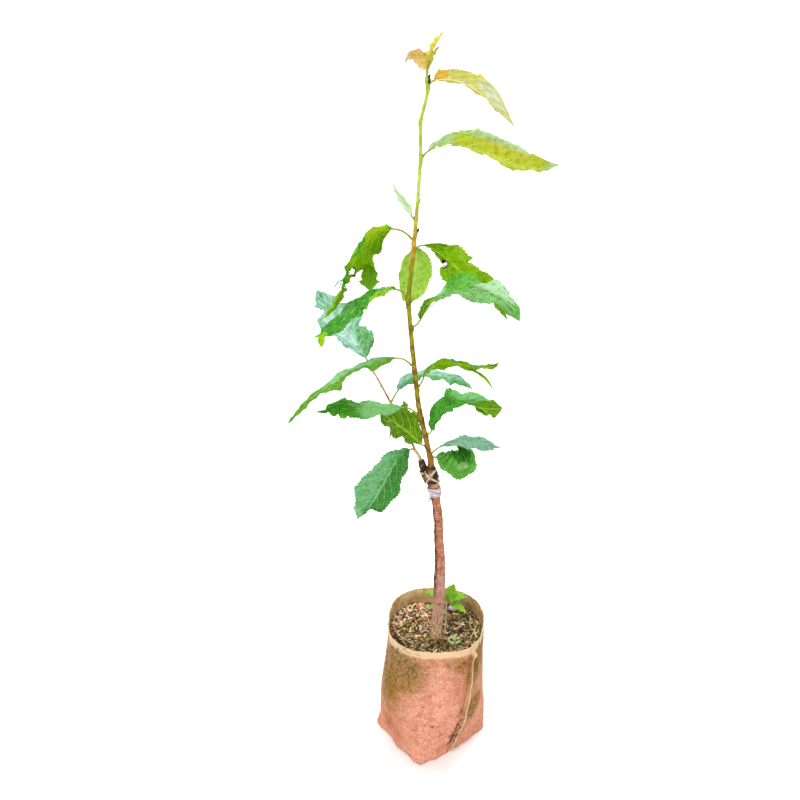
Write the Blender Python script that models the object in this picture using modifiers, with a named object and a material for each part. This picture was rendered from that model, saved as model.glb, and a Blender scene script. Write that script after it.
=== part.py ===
"""A young grafted fruit-tree sapling standing in its fabric nursery bag.

Metres, +Z up, -Y is the front. The origin is in the flat underside of the bag, below the middle
of its rim. The bag is square where it stands and round at its rim. A bare rootstock stem rises from
the root ball to the graft, where a long leader and a thin side shoot grow on, and every leaf is a
blade with its petiole, set on its stem by height, bearing and pitch.
"""

import math

import bmesh
import bpy
import numpy as np
from mathutils import Vector

COLLECTION_NAME = "grafted_sapling"
GAP = 0.0003  # between neighbouring pieces

# Nursery bag: a sleeve of cloth, folded square at its foot.
BAG_CIRCUMFERENCE = 0.400
BAG_HEIGHT = 0.181
BAG_WALL = 0.0012
BAG_SIDES = 48
RIM_RADIUS = BAG_CIRCUMFERENCE / (2 * math.pi)
FOOT_HALF_WIDTH = 0.0735  # corner to corner, left to right
FOOT_HALF_DEPTH = 0.0650  # corner to corner, front to back
FOOT_CENTRE = (-0.0035, 0.0010)
FOOT_SKEW = 0.20  # the front corner lies this much of its depth to the left
FOOT_SQUARENESS = 1.18  # 1 is a sharp square on its corner, 2 is round
RIM_SQUARENESS = 2.6
FOOT_ROUNDING = 0.003
EAR_REACH = 0.005  # the left corner of the fold sticks out
RIM_TILT = 0.002  # the rim is this much higher on the right than in the middle
CRUMPLE = 0.0009

SEAM_WIDTH = 0.0065
SEAM_THICKNESS = 0.0010
SEAM_FOOT_HEIGHT = 0.004
SEAM_BEARING_AT_RIM = math.radians(-49)
SEAM_BEARING_AT_FOOT = math.radians(-53)
SEAM_BOW = math.radians(4)  # it bends this far towards the right, most of it low down

# Root ball
SOIL_LEVEL = 0.160
SOIL_SIDE_CLEARANCE = 0.0028
SOIL_RELIEF = 0.0028

# Stems: (x, y, height) of the middle and the radius there, from the foot up.
TRUNK_FOOT = (0.0010, -0.014)
ROOTSTOCK = (
    (*TRUNK_FOOT, SOIL_LEVEL + GAP, 0.0084),
    (*TRUNK_FOOT, 0.166, 0.0078),
    (0.0013, -0.014, 0.178, 0.0076),
    (0.0028, -0.014, 0.205, 0.0075),
    (0.0034, -0.014, 0.250, 0.0073),
    (0.0031, -0.014, 0.280, 0.0065),
    (0.0016, -0.014, 0.305, 0.0059),
    (0.0000, -0.014, 0.338, 0.0057),
    (-0.0036, -0.014, 0.363, 0.0058),
    (-0.0062, -0.014, 0.380, 0.0070),
    (-0.0088, -0.013, 0.392, 0.0080),
    (-0.0100, -0.012, 0.3985, 0.0074),
    (-0.0100, -0.012, 0.4030, 0.0058),
)
GRAFT_SHOULDER = (
    (-0.0120, -0.011, 0.384, 0.0058),
    (-0.0178, -0.0085, 0.398, 0.0054),
    (-0.0222, -0.0068, 0.4095, 0.0038),
)
LEADER = (
    (-0.0100, -0.012, 0.4033, 0.0042),
    (-0.0100, -0.012, 0.4073, 0.0037),
    (-0.0120, -0.012, 0.419, 0.0031),
    (-0.0163, -0.012, 0.439, 0.0030),
    (-0.0250, -0.012, 0.479, 0.0028),
    (-0.0300, -0.012, 0.522, 0.0026),
    (-0.0340, -0.012, 0.560, 0.0025),
    (-0.0370, -0.012, 0.600, 0.0024),
    (-0.0325, -0.012, 0.650, 0.0023),
    (-0.0285, -0.012, 0.700, 0.0019),
    (-0.0260, -0.012, 0.742, 0.0018),
    (-0.0258, -0.012, 0.776, 0.0018),
    (-0.0200, -0.012, 0.803, 0.0016),
    (-0.0206, -0.012, 0.816, 0.0015),
)
SIDE_SHOOT = (
    (-0.02235, -0.0068, 0.4099, 0.0020),
    (-0.0238, -0.0063, 0.4136, 0.0018),
    (-0.0297, 0.002, 0.4195, 0.0016),
    (-0.0335, 0.008, 0.4255, 0.0015),
    (-0.0450, 0.018, 0.4428, 0.0014),
    (-0.0614, 0.030, 0.4693, 0.0014),
    (-0.0807, 0.039, 0.5015, 0.0013),
    (-0.0908, 0.044, 0.5176, 0.0012),
)
TIP_SHOOT = (
    (-0.0206, -0.012, 0.8165, 0.0014),
    (-0.0200, -0.012, 0.826, 0.0012),
    (-0.0188, -0.012, 0.834, 0.0009),
)
TAPE_HEIGHTS = (0.3665, 0.3800)  # grafting film wound round the stock under the graft
TAPE_THICKNESS = 0.0012
TAPE_TURNS = 4
TAPE_SIDES = 20

STEM_SIDES_STEP = 0.010  # one ring of a stem in about this much of its length

# Leaves
BLADE_THICKNESS_SHARE = 0.011  # of the blade's length
THINNEST_BLADE = 0.0006
BLADE_GRID = (12, 2)  # cells along the blade, and across each of its halves
SMALL_BLADE_GRID = (6, 1)
BLADE_BASE_FULLNESS = 0.62
BLADE_TIP_FULLNESS = 0.95
NARROWEST_HALF_BLADE = 0.0004
PETIOLE_RADIUS = 0.0009
SMALL_PETIOLE_RADIUS = 0.0006
PETIOLE_TAPER = 0.8
PETIOLE_STEPS = 5
PETIOLE_SHARE_IN_BLADE = 0.25
SPRIG_STEP = 0.006


def clear_scene():
    for obj in list(bpy.data.objects):
        bpy.data.objects.remove(obj, do_unlink=True)


def new_collection(name):
    collection = bpy.data.collections.new(name)
    bpy.context.scene.collection.children.link(collection)
    return collection


def new_material(name, colour, roughness):
    material = bpy.data.materials.new(name)
    material.use_nodes = True
    shader = material.node_tree.nodes["Principled BSDF"]
    shader.inputs["Base Color"].default_value = (*colour, 1)
    shader.inputs["Roughness"].default_value = roughness
    shader.inputs["Metallic"].default_value = 0
    return material


def add_object(name, mesh, collection, material=None):
    obj = bpy.data.objects.new(name, mesh)
    collection.objects.link(obj)
    if material:
        mesh.materials.clear()
        mesh.materials.append(material)
    mesh.shade_smooth()
    mesh.set_sharp_from_angle(angle=math.radians(50))
    return obj


def evaluated_mesh(obj):
    """The object's mesh with its modifiers or its bevel applied, and its seams welded."""
    bpy.context.view_layer.update()
    graph = bpy.context.evaluated_depsgraph_get()
    mesh = bpy.data.meshes.new_from_object(obj.evaluated_get(graph))
    shape = bmesh.new()
    shape.from_mesh(mesh)
    bmesh.ops.remove_doubles(shape, verts=shape.verts, dist=1e-6)
    shape.to_mesh(mesh)
    shape.free()
    return mesh


def smooth_step(value):
    value = min(1.0, max(0.0, value))
    return value * value * (3 - 2 * value)


def mix(a, b, share):
    return a + (b - a) * share


# ---------------------------------------------------------------- bag and root ball


def bag_point(bearing, height, outward=0.0):
    """A point on the outside of the bag, moved outward by so much along its radius."""
    share = height / BAG_HEIGHT
    roundness = smooth_step(share * 1.3)
    power = mix(FOOT_SQUARENESS, RIM_SQUARENESS, roundness)
    half_width = mix(FOOT_HALF_WIDTH, RIM_RADIUS, smooth_step(share * 1.1))
    half_depth = mix(FOOT_HALF_DEPTH, RIM_RADIUS, smooth_step(share * 1.1))
    wide = abs(math.cos(bearing)) / half_width
    deep = abs(math.sin(bearing)) / half_depth
    radius = (wide**power + deep**power) ** (-1 / power)
    off_left = abs(math.remainder(bearing - math.pi, 2 * math.pi))
    radius += EAR_REACH * max(0.0, 1 - off_left / 0.25) * max(0.0, 1 - height / 0.02)
    folds = math.sin(7 * bearing + 40 * height) + math.sin(11 * bearing - 25 * height)
    radius += CRUMPLE * folds * math.sin(math.pi * min(1.0, share))
    radius -= FOOT_ROUNDING * (1 - min(1.0, height / FOOT_ROUNDING)) ** 2
    radius += outward
    rim_rise = RIM_TILT * math.cos(bearing) * share**4
    settled = 1 - smooth_step(share)
    across = radius * (math.cos(bearing) + FOOT_SKEW * settled * math.sin(bearing))
    along = radius * math.sin(bearing)
    return Vector((FOOT_CENTRE[0] * settled + across, FOOT_CENTRE[1] * settled + along, height + rim_rise))


def bearings():
    return [2 * math.pi * step / BAG_SIDES for step in range(BAG_SIDES)]


def ring_surface(name, rings, capped_below=None):
    """A mesh through closed rings of equally many points, with its open ends below a height capped."""
    around = len(rings[0])
    levels = len(rings) - 1
    skin = bmesh.new()
    bmesh.ops.create_grid(skin, x_segments=around, y_segments=levels, size=0.5)
    for vert in skin.verts:
        step = round((vert.co.x + 0.5) * around) % around
        level = round((vert.co.y + 0.5) * levels)
        vert.co = rings[level][step]
    bmesh.ops.remove_doubles(skin, verts=skin.verts, dist=1e-6)
    if capped_below is not None:
        ends = [edge for edge in skin.edges if edge.is_boundary]
        ends = [edge for edge in ends if max(vert.co.z for vert in edge.verts) < capped_below]
        bmesh.ops.holes_fill(skin, edges=ends, sides=0)
    bmesh.ops.recalc_face_normals(skin, faces=skin.faces)
    mesh = bpy.data.meshes.new(name)
    skin.to_mesh(mesh)
    skin.free()
    return mesh


def solidified(obj, thickness, offset):
    shell = obj.modifiers.new("thickness", "SOLIDIFY")
    shell.thickness = thickness
    shell.offset = offset
    return obj


def make_bag(collection, material):
    heights = [0.0, 0.0012, FOOT_ROUNDING, 0.012, 0.030, 0.060, 0.095, 0.130, 0.158, BAG_HEIGHT]
    rings = [[bag_point(bearing, height) for bearing in bearings()] for height in heights]
    mesh = ring_surface("grow_bag", rings, capped_below=BAG_HEIGHT / 2)
    return solidified(add_object("grow_bag", mesh, collection, material), BAG_WALL, -1)


def make_seam(collection, material):
    """The sewn edge that stands out of the wall at the right front, from the rim down."""
    steps = 12
    skin = bmesh.new()
    bmesh.ops.create_grid(skin, x_segments=steps, y_segments=2, size=0.5)
    for vert in skin.verts:
        share = vert.co.x + 0.5
        out = vert.co.y + 0.5
        height = mix(SEAM_FOOT_HEIGHT, BAG_HEIGHT - 0.0005, share)
        bearing = mix(SEAM_BEARING_AT_FOOT, SEAM_BEARING_AT_RIM, share)
        bearing += SEAM_BOW * math.sin(math.pi * share**0.6)
        lean = 0.03 * out * math.sin(5 * share)
        stand_off = GAP + SEAM_THICKNESS / 2 + SEAM_WIDTH * out
        vert.co = bag_point(bearing + lean, height, stand_off)
    mesh = bpy.data.meshes.new("bag_seam")
    skin.to_mesh(mesh)
    skin.free()
    return solidified(add_object("bag_seam", mesh, collection, material), SEAM_THICKNESS, 0)


def soil_height(x, y):
    """The lumpy top of the root ball, level round the trunk's foot."""
    reach = math.hypot(x - TRUNK_FOOT[0], y - TRUNK_FOOT[1])
    lumps = math.sin(90 * x + 1.3) * math.cos(80 * y) + 0.6 * math.sin(170 * x + 120 * y)
    return SOIL_LEVEL + SOIL_RELIEF * lumps * smooth_step((reach - 0.012) / 0.02) * 0.6


def make_root_ball(collection, material):
    floor = BAG_WALL + GAP
    heights = [floor, 0.012, 0.030, 0.060, 0.095, 0.130, SOIL_LEVEL]
    rings = []
    for height in heights:
        ring = [bag_point(bearing, height, -SOIL_SIDE_CLEARANCE) for bearing in bearings()]
        if height in (floor, SOIL_LEVEL):
            ring = [Vector((place.x, place.y, height)) for place in ring]
        rings.append(ring)
    rim = rings[-1]
    for share in (0.80, 0.58, 0.36, 0.15):
        ring = []
        for place in rim:
            x = mix(TRUNK_FOOT[0], place.x, share)
            y = mix(TRUNK_FOOT[1], place.y, share)
            ring.append(Vector((x, y, soil_height(x, y))))
        rings.append(ring)
    mesh = ring_surface("root_ball", rings, capped_below=BAG_HEIGHT)
    return add_object("root_ball", mesh, collection, material)


# ---------------------------------------------------------------- stems


def stem_curve(route, length_step):
    """(points, radii) along a smooth curve through a stem's route."""
    knots = np.array(route, float)
    lengths = np.concatenate([[0], np.cumsum(np.linalg.norm(np.diff(knots[:, :3], axis=0), axis=1))])
    tangents = np.gradient(knots, lengths, axis=0)
    samples = []
    for start in range(len(knots) - 1):
        span = lengths[start + 1] - lengths[start]
        steps = max(1, round(span / length_step))
        for step in range(steps):
            t = step / steps
            h1, h2 = 2 * t**3 - 3 * t**2 + 1, t**3 - 2 * t**2 + t
            h3, h4 = -2 * t**3 + 3 * t**2, t**3 - t**2
            samples.append(
                h1 * knots[start]
                + h2 * span * tangents[start]
                + h3 * knots[start + 1]
                + h4 * span * tangents[start + 1]
            )
    samples.append(knots[-1])
    samples = np.array(samples)
    return samples[:, :3], samples[:, 3]


def tube(name, points, radii, collection, extra_sides=1):
    """A round closed tube through the points, as a mesh object with 4 + 2 * extra_sides sides."""
    curve = bpy.data.curves.new(name, "CURVE")
    curve.dimensions = "3D"
    curve.bevel_depth = 1.0
    curve.bevel_resolution = extra_sides
    curve.use_fill_caps = True
    spline = curve.splines.new("POLY")
    spline.points.add(len(points) - 1)
    for knot, place, radius in zip(spline.points, points, radii):
        knot.co = (*place, 1)
        knot.radius = radius
    guide = bpy.data.objects.new(name + "_curve", curve)
    collection.objects.link(guide)
    mesh = evaluated_mesh(guide)
    bpy.data.objects.remove(guide, do_unlink=True)
    mesh.name = name
    return add_object(name, mesh, collection)


def fuse(name, pieces, collection, material):
    """One closed mesh from several that run into each other."""
    base = pieces[0]
    others = new_collection(name + "_others")
    for piece in pieces[1:]:
        collection.objects.unlink(piece)
        others.objects.link(piece)
    union = base.modifiers.new("union", "BOOLEAN")
    union.operation = "UNION"
    union.operand_type = "COLLECTION"
    union.collection = others
    union.solver = "MANIFOLD"  # the exact solver loses some of the thin blades
    mesh = evaluated_mesh(base)
    for piece in pieces:
        bpy.data.objects.remove(piece, do_unlink=True)
    bpy.data.collections.remove(others)
    mesh.name = name
    return add_object(name, mesh, collection, material)


def point_on(route, height):
    """(middle, radius, direction) of a stem at a height."""
    points, radii = stem_curve(route, 0.004)
    x = np.interp(height, points[:, 2], points[:, 0])
    y = np.interp(height, points[:, 2], points[:, 1])
    above = np.array([np.interp(height + 0.004, points[:, 2], points[:, axis]) for axis in range(3)])
    below = np.array([np.interp(height - 0.004, points[:, 2], points[:, axis]) for axis in range(3)])
    direction = (above - below) / np.linalg.norm(above - below)
    return np.array((x, y, height)), float(np.interp(height, points[:, 2], radii)), direction


def make_tape(collection, material):
    """The film's sleeve, which bulges at each turn."""
    low, high = TAPE_HEIGHTS
    rings = []
    steps = 2 * TAPE_TURNS
    for step in range(steps + 1):
        share = step / steps
        middle, radius, _ = point_on(ROOTSTOCK, mix(low, high, share))
        bulge = TAPE_THICKNESS * 0.3 * (step % 2)
        reach = radius + 3 * GAP + TAPE_THICKNESS + bulge
        ring = [
            Vector((middle[0] + reach * math.cos(turn), middle[1] + reach * math.sin(turn), middle[2]))
            for turn in [2 * math.pi * side / TAPE_SIDES for side in range(TAPE_SIDES)]
        ]
        rings.append(ring)
    mesh = ring_surface("graft_tape", rings)
    return solidified(add_object("graft_tape", mesh, collection, material), TAPE_THICKNESS, -1)


def make_stem(name, route, collection, material, extra_sides):
    points, radii = stem_curve(route, STEM_SIDES_STEP)
    stem = tube(name, points, radii, collection, extra_sides)
    stem.data.materials.clear()
    stem.data.materials.append(material)
    return stem


def make_rootstock(collection, material):
    stock = make_stem("rootstock_stem", ROOTSTOCK, collection, material, 4)
    shoulder = make_stem("rootstock_shoulder", GRAFT_SHOULDER, collection, material, 3)
    return fuse("rootstock", [stock, shoulder], collection, material)


# ---------------------------------------------------------------- leaves


def heading(bearing, pitch):
    """Unit vectors along bearings and pitches in degrees."""
    turn = np.radians(bearing)
    rise = np.radians(pitch)
    return np.stack([np.cos(turn) * np.cos(rise), np.sin(turn) * np.cos(rise), np.sin(rise)], -1)


def leaf_foot(stem, height, bearing, pitch):
    """Where a petiole starts, clear of the side of its stem, or of the stem's tip with no height."""
    way = heading(bearing, pitch)
    if height is None:
        points, _ = stem_curve(stem, STEM_SIDES_STEP)
        direction = points[-1] - points[-2]
        along_stem = float(way @ direction) / np.linalg.norm(direction)
        return points[-1] + way * (GAP + PETIOLE_RADIUS * math.sqrt(1 - along_stem**2)) / along_stem
    middle, radius, direction = point_on(stem, height)
    along_stem = abs(float(way @ direction))
    off_stem = math.sqrt(1 - along_stem**2)
    return middle + way * (radius + GAP + PETIOLE_RADIUS * along_stem) / off_stem


def half_width_at(share, widest, nibbles, side):
    """Half the blade's width at a share of its length, less where it is eaten and more in a lobe."""
    top = BLADE_BASE_FULLNESS / (BLADE_BASE_FULLNESS + BLADE_TIP_FULLNESS)
    peak = top**BLADE_BASE_FULLNESS * (1 - top) ** BLADE_TIP_FULLNESS
    width = widest * share**BLADE_BASE_FULLNESS * (1 - share) ** BLADE_TIP_FULLNESS / peak
    for nibbled_side, start, end, kept in nibbles:
        if side == nibbled_side and start <= share <= end:
            width *= kept
    return max(width, NARROWEST_HALF_BLADE)


class Leaf:
    """The path of one leaf's petiole and midrib, and the place of any point of its blade.

    bearing is the way it points, in degrees from +X round to +Y. pitches are how steeply the petiole
    leaves the stem and how steeply the midrib runs at the blade's base, middle and tip. fold lifts
    both halves of the blade, curl bends them further outwards, and roll turns it from base to tip.
    """

    def __init__(self, foot, bearing, petiole, pitches, length, width,
                 sweep=0, roll=(0, 0), fold=10, curl=0, nibbles=(), petiole_radius=PETIOLE_RADIUS):
        self.foot = foot
        self.bearing = bearing
        self.petiole = petiole
        self.pitches = pitches
        self.length = length
        self.half_width = width / 2
        self.sweep = sweep
        self.roll = roll
        self.fold = fold
        self.curl = curl
        self.nibbles = nibbles
        self.petiole_radius = petiole_radius
        self.grid = SMALL_BLADE_GRID if petiole_radius < PETIOLE_RADIUS else BLADE_GRID

    def petiole_points(self):
        points = [self.foot]
        for step in range(PETIOLE_STEPS):
            pitch = mix(self.pitches[0], self.pitches[1], (step + 0.5) / PETIOLE_STEPS)
            points.append(points[-1] + heading(self.bearing, pitch) * self.petiole / PETIOLE_STEPS)
        return np.array(points)

    def pitch_at(self, share):
        _, base, middle, tip = self.pitches
        bend = 2 * (base - 2 * middle + tip)
        return base + (tip - base - bend) * share + bend * share * share

    def midrib(self, steps):
        points = [self.petiole_points()[-1]]
        for step in range(steps):
            share = (step + 0.5) / steps
            way = heading(self.bearing + self.sweep * share, self.pitch_at(share))
            points.append(points[-1] + way * self.length / steps)
        return np.array(points)

    def blade(self):
        """Places of the blade's grid: steps + 1 rows of 2 * half_steps + 1 points."""
        steps, half_steps = self.grid
        shares = np.linspace(0, 1, steps + 1)
        bearing = self.bearing + self.sweep * shares
        along = heading(bearing, self.pitch_at(shares))
        left = heading(bearing + 90, 0 * shares)
        up = np.cross(along, left)
        middle = self.midrib(steps)
        roll = mix(self.roll[0], self.roll[1], shares)
        grid = np.zeros((steps + 1, 2 * half_steps + 1, 3))
        grid[:, half_steps] = middle
        for side in (1, -1):
            widths = np.array([half_width_at(s, self.half_width, self.nibbles, side) for s in shares])
            edge = middle.copy()
            for step in range(half_steps):
                lift = np.radians(self.fold + self.curl * (step + 0.5) / half_steps + side * roll)
                across = side * left * np.cos(lift)[:, None] + up * np.sin(lift)[:, None]
                edge = edge + across * widths[:, None] / half_steps
                grid[:, half_steps + side * (step + 1)] = edge
        return grid


def leaf_on(stem, height, bearing, petiole, pitches, **sizes):
    """A leaf whose petiole starts clear of its stem, at a height or, with none, at the stem's tip."""
    return Leaf(leaf_foot(stem, height, bearing, pitches[0]), bearing, petiole, pitches, **sizes)


def leaf_in(stem, height, bearing, petiole, pitches, **sizes):
    """A small leaf whose petiole starts inside its stem, to be fused with it."""
    sizes["petiole_radius"] = SMALL_PETIOLE_RADIUS
    return Leaf(point_on(stem, height)[0], bearing, petiole, pitches, **sizes)


def leaf_pieces(name, leaf, collection):
    """The leaf's blade and its petiole, which runs on into the blade as its rib."""
    steps, half_steps = leaf.grid
    skin = bmesh.new()
    bmesh.ops.create_grid(skin, x_segments=steps, y_segments=2 * half_steps, size=0.5)
    places = leaf.blade()
    for vert in skin.verts:
        along = round((vert.co.x + 0.5) * steps)
        across = round((vert.co.y + 0.5) * 2 * half_steps)
        vert.co = places[along, across]
    mesh = bpy.data.meshes.new(name + "_sheet")
    skin.to_mesh(mesh)
    skin.free()
    thickness = max(THINNEST_BLADE, BLADE_THICKNESS_SHARE * leaf.length)
    sheet = solidified(add_object(name + "_sheet", mesh, collection), thickness, 0)
    solid = evaluated_mesh(sheet)
    bpy.data.objects.remove(sheet, do_unlink=True)
    blade = add_object(name + "_blade", solid, collection)
    inside = round(PETIOLE_SHARE_IN_BLADE * steps)
    points = np.concatenate([leaf.petiole_points(), leaf.midrib(steps)[1 : inside + 1]])
    radii = np.linspace(leaf.petiole_radius, leaf.petiole_radius * PETIOLE_TAPER, len(points))
    return [blade, tube(name + "_petiole", points, radii, collection)]


def make_leaf(name, leaf, collection, material):
    return fuse(name, leaf_pieces(name, leaf, collection), collection, material)


def make_sprig(name, stem, leaves, collection, material):
    """A small stem with its leaves fused on."""
    points, radii = stem_curve(stem, SPRIG_STEP)
    pieces = [tube(name + "_stem", points, radii, collection)]
    for number, leaf in enumerate(leaves):
        pieces += leaf_pieces(f"{name}_{number}", leaf, collection)
    return fuse(name, pieces, collection, material)


LEAVES = {
    "leaf_01": leaf_on(LEADER, 0.806, -9, 0.005, (50, 12, -36, -40), length=0.096, width=0.030,
                       sweep=-11, roll=(-30, -37), fold=21, curl=13,
                       nibbles=((-1, 0.10, 0.36, 0.8),)),
    "leaf_02": leaf_on(LEADER, 0.74, 20, 0.009, (53, 26, -20, 24), length=0.142, width=0.058,
                       sweep=-16, roll=(-2, -38), fold=23, curl=0),
    "leaf_03": leaf_on(LEADER, 0.682, 209, 0.005, (34, 68, 46, 64), length=0.037, width=0.015,
                       sweep=11, roll=(20, -18), fold=5, curl=-13),
    "leaf_04": leaf_on(LEADER, 0.66, 196, 0.025, (52, -2, -67, -31), length=0.124, width=0.053,
                       sweep=0, roll=(33, 30), fold=0, curl=-30,
                       nibbles=((-1, 0.14, 0.34, 1.3), (1, 0.20, 0.52, 0.7), (1, 0.52, 1, 0.3),
                                (-1, 0.56, 1, 0.35))),
    "leaf_05": leaf_on(LEADER, 0.656, 84, 0.013, (21, -60, -61, -53), length=0.084, width=0.038,
                       sweep=47, roll=(-18, 24), fold=5, curl=-10),
    "leaf_06": leaf_on(LEADER, 0.6495, 33, 0.012, (47, -17, -39, 0), length=0.110, width=0.049,
                       sweep=-4, roll=(-10, -53), fold=17, curl=-5,
                       nibbles=((1, 0.04, 0.34, 0.55), (-1, 0.56, 0.95, 1.35))),
    "leaf_07": leaf_on(LEADER, 0.5685, -19, 0.013, (32, 63, 3, -46), length=0.131, width=0.053,
                       sweep=-14, roll=(0, 36), fold=17, curl=-8,
                       nibbles=((1, 0.20, 0.58, 0.65),)),
    "leaf_08": leaf_on(LEADER, 0.599, 214, 0.017, (55, 7, -38, -9), length=0.104, width=0.045,
                       sweep=-11, roll=(11, -15), fold=8, curl=-13),
    "leaf_09": leaf_on(LEADER, 0.521, 186, 0.021, (55, -8, -30, -42), length=0.143, width=0.041,
                       sweep=29, roll=(-8, 10), fold=-4, curl=0,
                       nibbles=((1, 0.22, 0.42, 0.35), (1, 0.62, 0.75, 0.3))),
    "leaf_10": leaf_on(LEADER, 0.461, 184, 0.020, (55, -7, 0, -11), length=0.099, width=0.035,
                       sweep=3, roll=(-3, -35), fold=10, curl=-25,
                       nibbles=((-1, 0.86, 1, 0.15), (1, 0.82, 1, 0.6))),
    "leaf_11": leaf_on(LEADER, 0.430, 150, 0.006, (-10, 32, 28, 34), length=0.080, width=0.047,
                       sweep=14, roll=(93, 35), fold=7, curl=-4,
                       nibbles=((-1, 0, 0.32, 0.45),)),
    "leaf_12": leaf_on(SIDE_SHOOT, 0.468, 46, 0.016, (55, 41, -6, -25), length=0.105, width=0.041,
                       sweep=-69, roll=(-13, 16), fold=12, curl=-19),
    "leaf_13": leaf_on(LEADER, 0.499, 29, 0.011, (49, 69, -9, 55), length=0.097, width=0.035,
                       sweep=-68, roll=(-38, -18), fold=8, curl=-24),
    "leaf_14": leaf_on(LEADER, 0.443, 10, 0.008, (25, 84, 3, -24), length=0.103, width=0.046,
                       sweep=21, roll=(1, 22), fold=16, curl=-11,
                       nibbles=((-1, 0.08, 0.48, 0.35), (-1, 0.60, 0.92, 1.5))),
    "leaf_15": leaf_on(LEADER, 0.418, 18, 0.012, (46, 20, -11, -20), length=0.080, width=0.027,
                       sweep=0, roll=(-17, 52), fold=1, curl=-6),
    "leaf_16": leaf_on(LEADER, 0.414, 30, 0.004, (18, -47, 10, 183), length=0.079, width=0.044,
                       sweep=-1, roll=(38, 10), fold=20, curl=-15),
    "leaf_17": leaf_on(SIDE_SHOOT, 0.419, 213, 0.007, (33, -24, -54, -10), length=0.103, width=0.050,
                       sweep=15, roll=(3, -38), fold=7, curl=-3,
                       nibbles=((1, 0.86, 1, 0.2), (-1, 0.55, 0.97, 1.6))),
    "leaf_18": leaf_on(SIDE_SHOOT, None, 145, 0.003, (54, 46, 35, 39), length=0.119, width=0.054,
                       sweep=-13, roll=(-1, -54), fold=9, curl=0,
                       nibbles=((1, 0.02, 0.32, 0.75), (1, 0.67, 0.75, 0.6))),
}

TIP_LEAVES = (
    leaf_in(TIP_SHOOT, 0.831, 5, 0.004, (70, 60, 55, 58), length=0.024, width=0.0065, fold=30),
    leaf_in(TIP_SHOOT, 0.829, 20, 0.002, (60, 50, 45, 40), length=0.013, width=0.005, fold=30),
    leaf_in(TIP_SHOOT, 0.822, -20, 0.003, (60, 62, 55, 40), length=0.019, width=0.012, fold=15),
    leaf_in(TIP_SHOOT, 0.826, 190, 0.002, (60, 40, 0, -95), length=0.025, width=0.015,
            roll=(20, 20), fold=15),
    leaf_in(TIP_SHOOT, 0.820, 170, 0.002, (50, 35, 25, 15), length=0.018, width=0.006, fold=10),
)

BASAL_SHOOT = (
    (0.0112, -0.0105, SOIL_LEVEL + GAP, 0.0010),
    (0.0112, -0.0105, 0.165, 0.0010),
    (0.0125, -0.0040, 0.180, 0.0009),
    (0.0130, 0.0030, 0.203, 0.0008),
)
BASAL_LEAVES = (
    leaf_in(BASAL_SHOOT, 0.202, 60, 0.004, (60, 50, 40, 30), length=0.022, width=0.014, fold=10),
    leaf_in(BASAL_SHOOT, 0.202, 10, 0.006, (60, 40, 10, -10), length=0.025, width=0.016, fold=10),
    leaf_in(BASAL_SHOOT, 0.198, -15, 0.008, (50, 20, -20, -40), length=0.022, width=0.014, fold=10),
    leaf_in(BASAL_SHOOT, 0.200, 150, 0.010, (60, 35, -5, -35), length=0.028, width=0.015, fold=10),
    leaf_in(BASAL_SHOOT, 0.190, 165, 0.010, (50, 25, -20, -45), length=0.020, width=0.012, fold=10),
)


LEAF_GREEN = (0.07, 0.24, 0.07)
LEAF_PALE = (0.24, 0.42, 0.30)
LEAF_YELLOW = (0.28, 0.44, 0.04)
LEAF_GOLD = (0.52, 0.46, 0.09)
LEAF_COLOURS = {
    "leaf_01": LEAF_GOLD,
    "leaf_02": LEAF_GOLD,
    "leaf_03": LEAF_PALE,
    "leaf_04": LEAF_YELLOW,
    "leaf_05": LEAF_YELLOW,
    "leaf_06": LEAF_YELLOW,
    "leaf_11": LEAF_YELLOW,
    "leaf_12": LEAF_PALE,
    "leaf_15": LEAF_PALE,
    "leaf_18": LEAF_PALE,
}


def main():
    clear_scene()
    plant = new_collection(COLLECTION_NAME)
    make_bag(plant, new_material("bag_cloth", (0.60, 0.30, 0.19), 0.9))
    make_seam(plant, new_material("bag_seam_cloth", (0.42, 0.33, 0.20), 0.9))
    make_root_ball(plant, new_material("soil", (0.13, 0.08, 0.05), 0.95))
    make_rootstock(plant, new_material("rootstock_bark", (0.30, 0.16, 0.11), 0.8))
    make_tape(plant, new_material("graft_film", (0.62, 0.58, 0.62), 0.4))
    make_stem("leader", LEADER, plant, new_material("leader_bark", (0.27, 0.24, 0.05), 0.6), 2)
    make_stem("side_shoot", SIDE_SHOOT, plant, new_material("shoot_bark", (0.42, 0.25, 0.12), 0.6), 1)
    make_sprig("tip_leaves", TIP_SHOOT, TIP_LEAVES, plant,
               new_material("young_leaf", (0.45, 0.40, 0.08), 0.5))
    make_sprig("basal_shoot", BASAL_SHOOT, BASAL_LEAVES, plant,
               new_material("basal_leaf", (0.18, 0.45, 0.03), 0.5))
    for name, leaf in LEAVES.items():
        make_leaf(name, leaf, plant, new_material(name, LEAF_COLOURS.get(name, LEAF_GREEN), 0.5))


main()
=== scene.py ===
"""Looks of a young grafted tree sapling in its fabric nursery bag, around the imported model.

Metres, +Z up, -Y is the front. The stems and leaves follow the part's own rule, written again here
and carried to finer detail, and every pattern is procedural. Colours are display values, 0 to 255.
"""

import math

import bpy
import numpy as np
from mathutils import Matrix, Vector, noise


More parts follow.
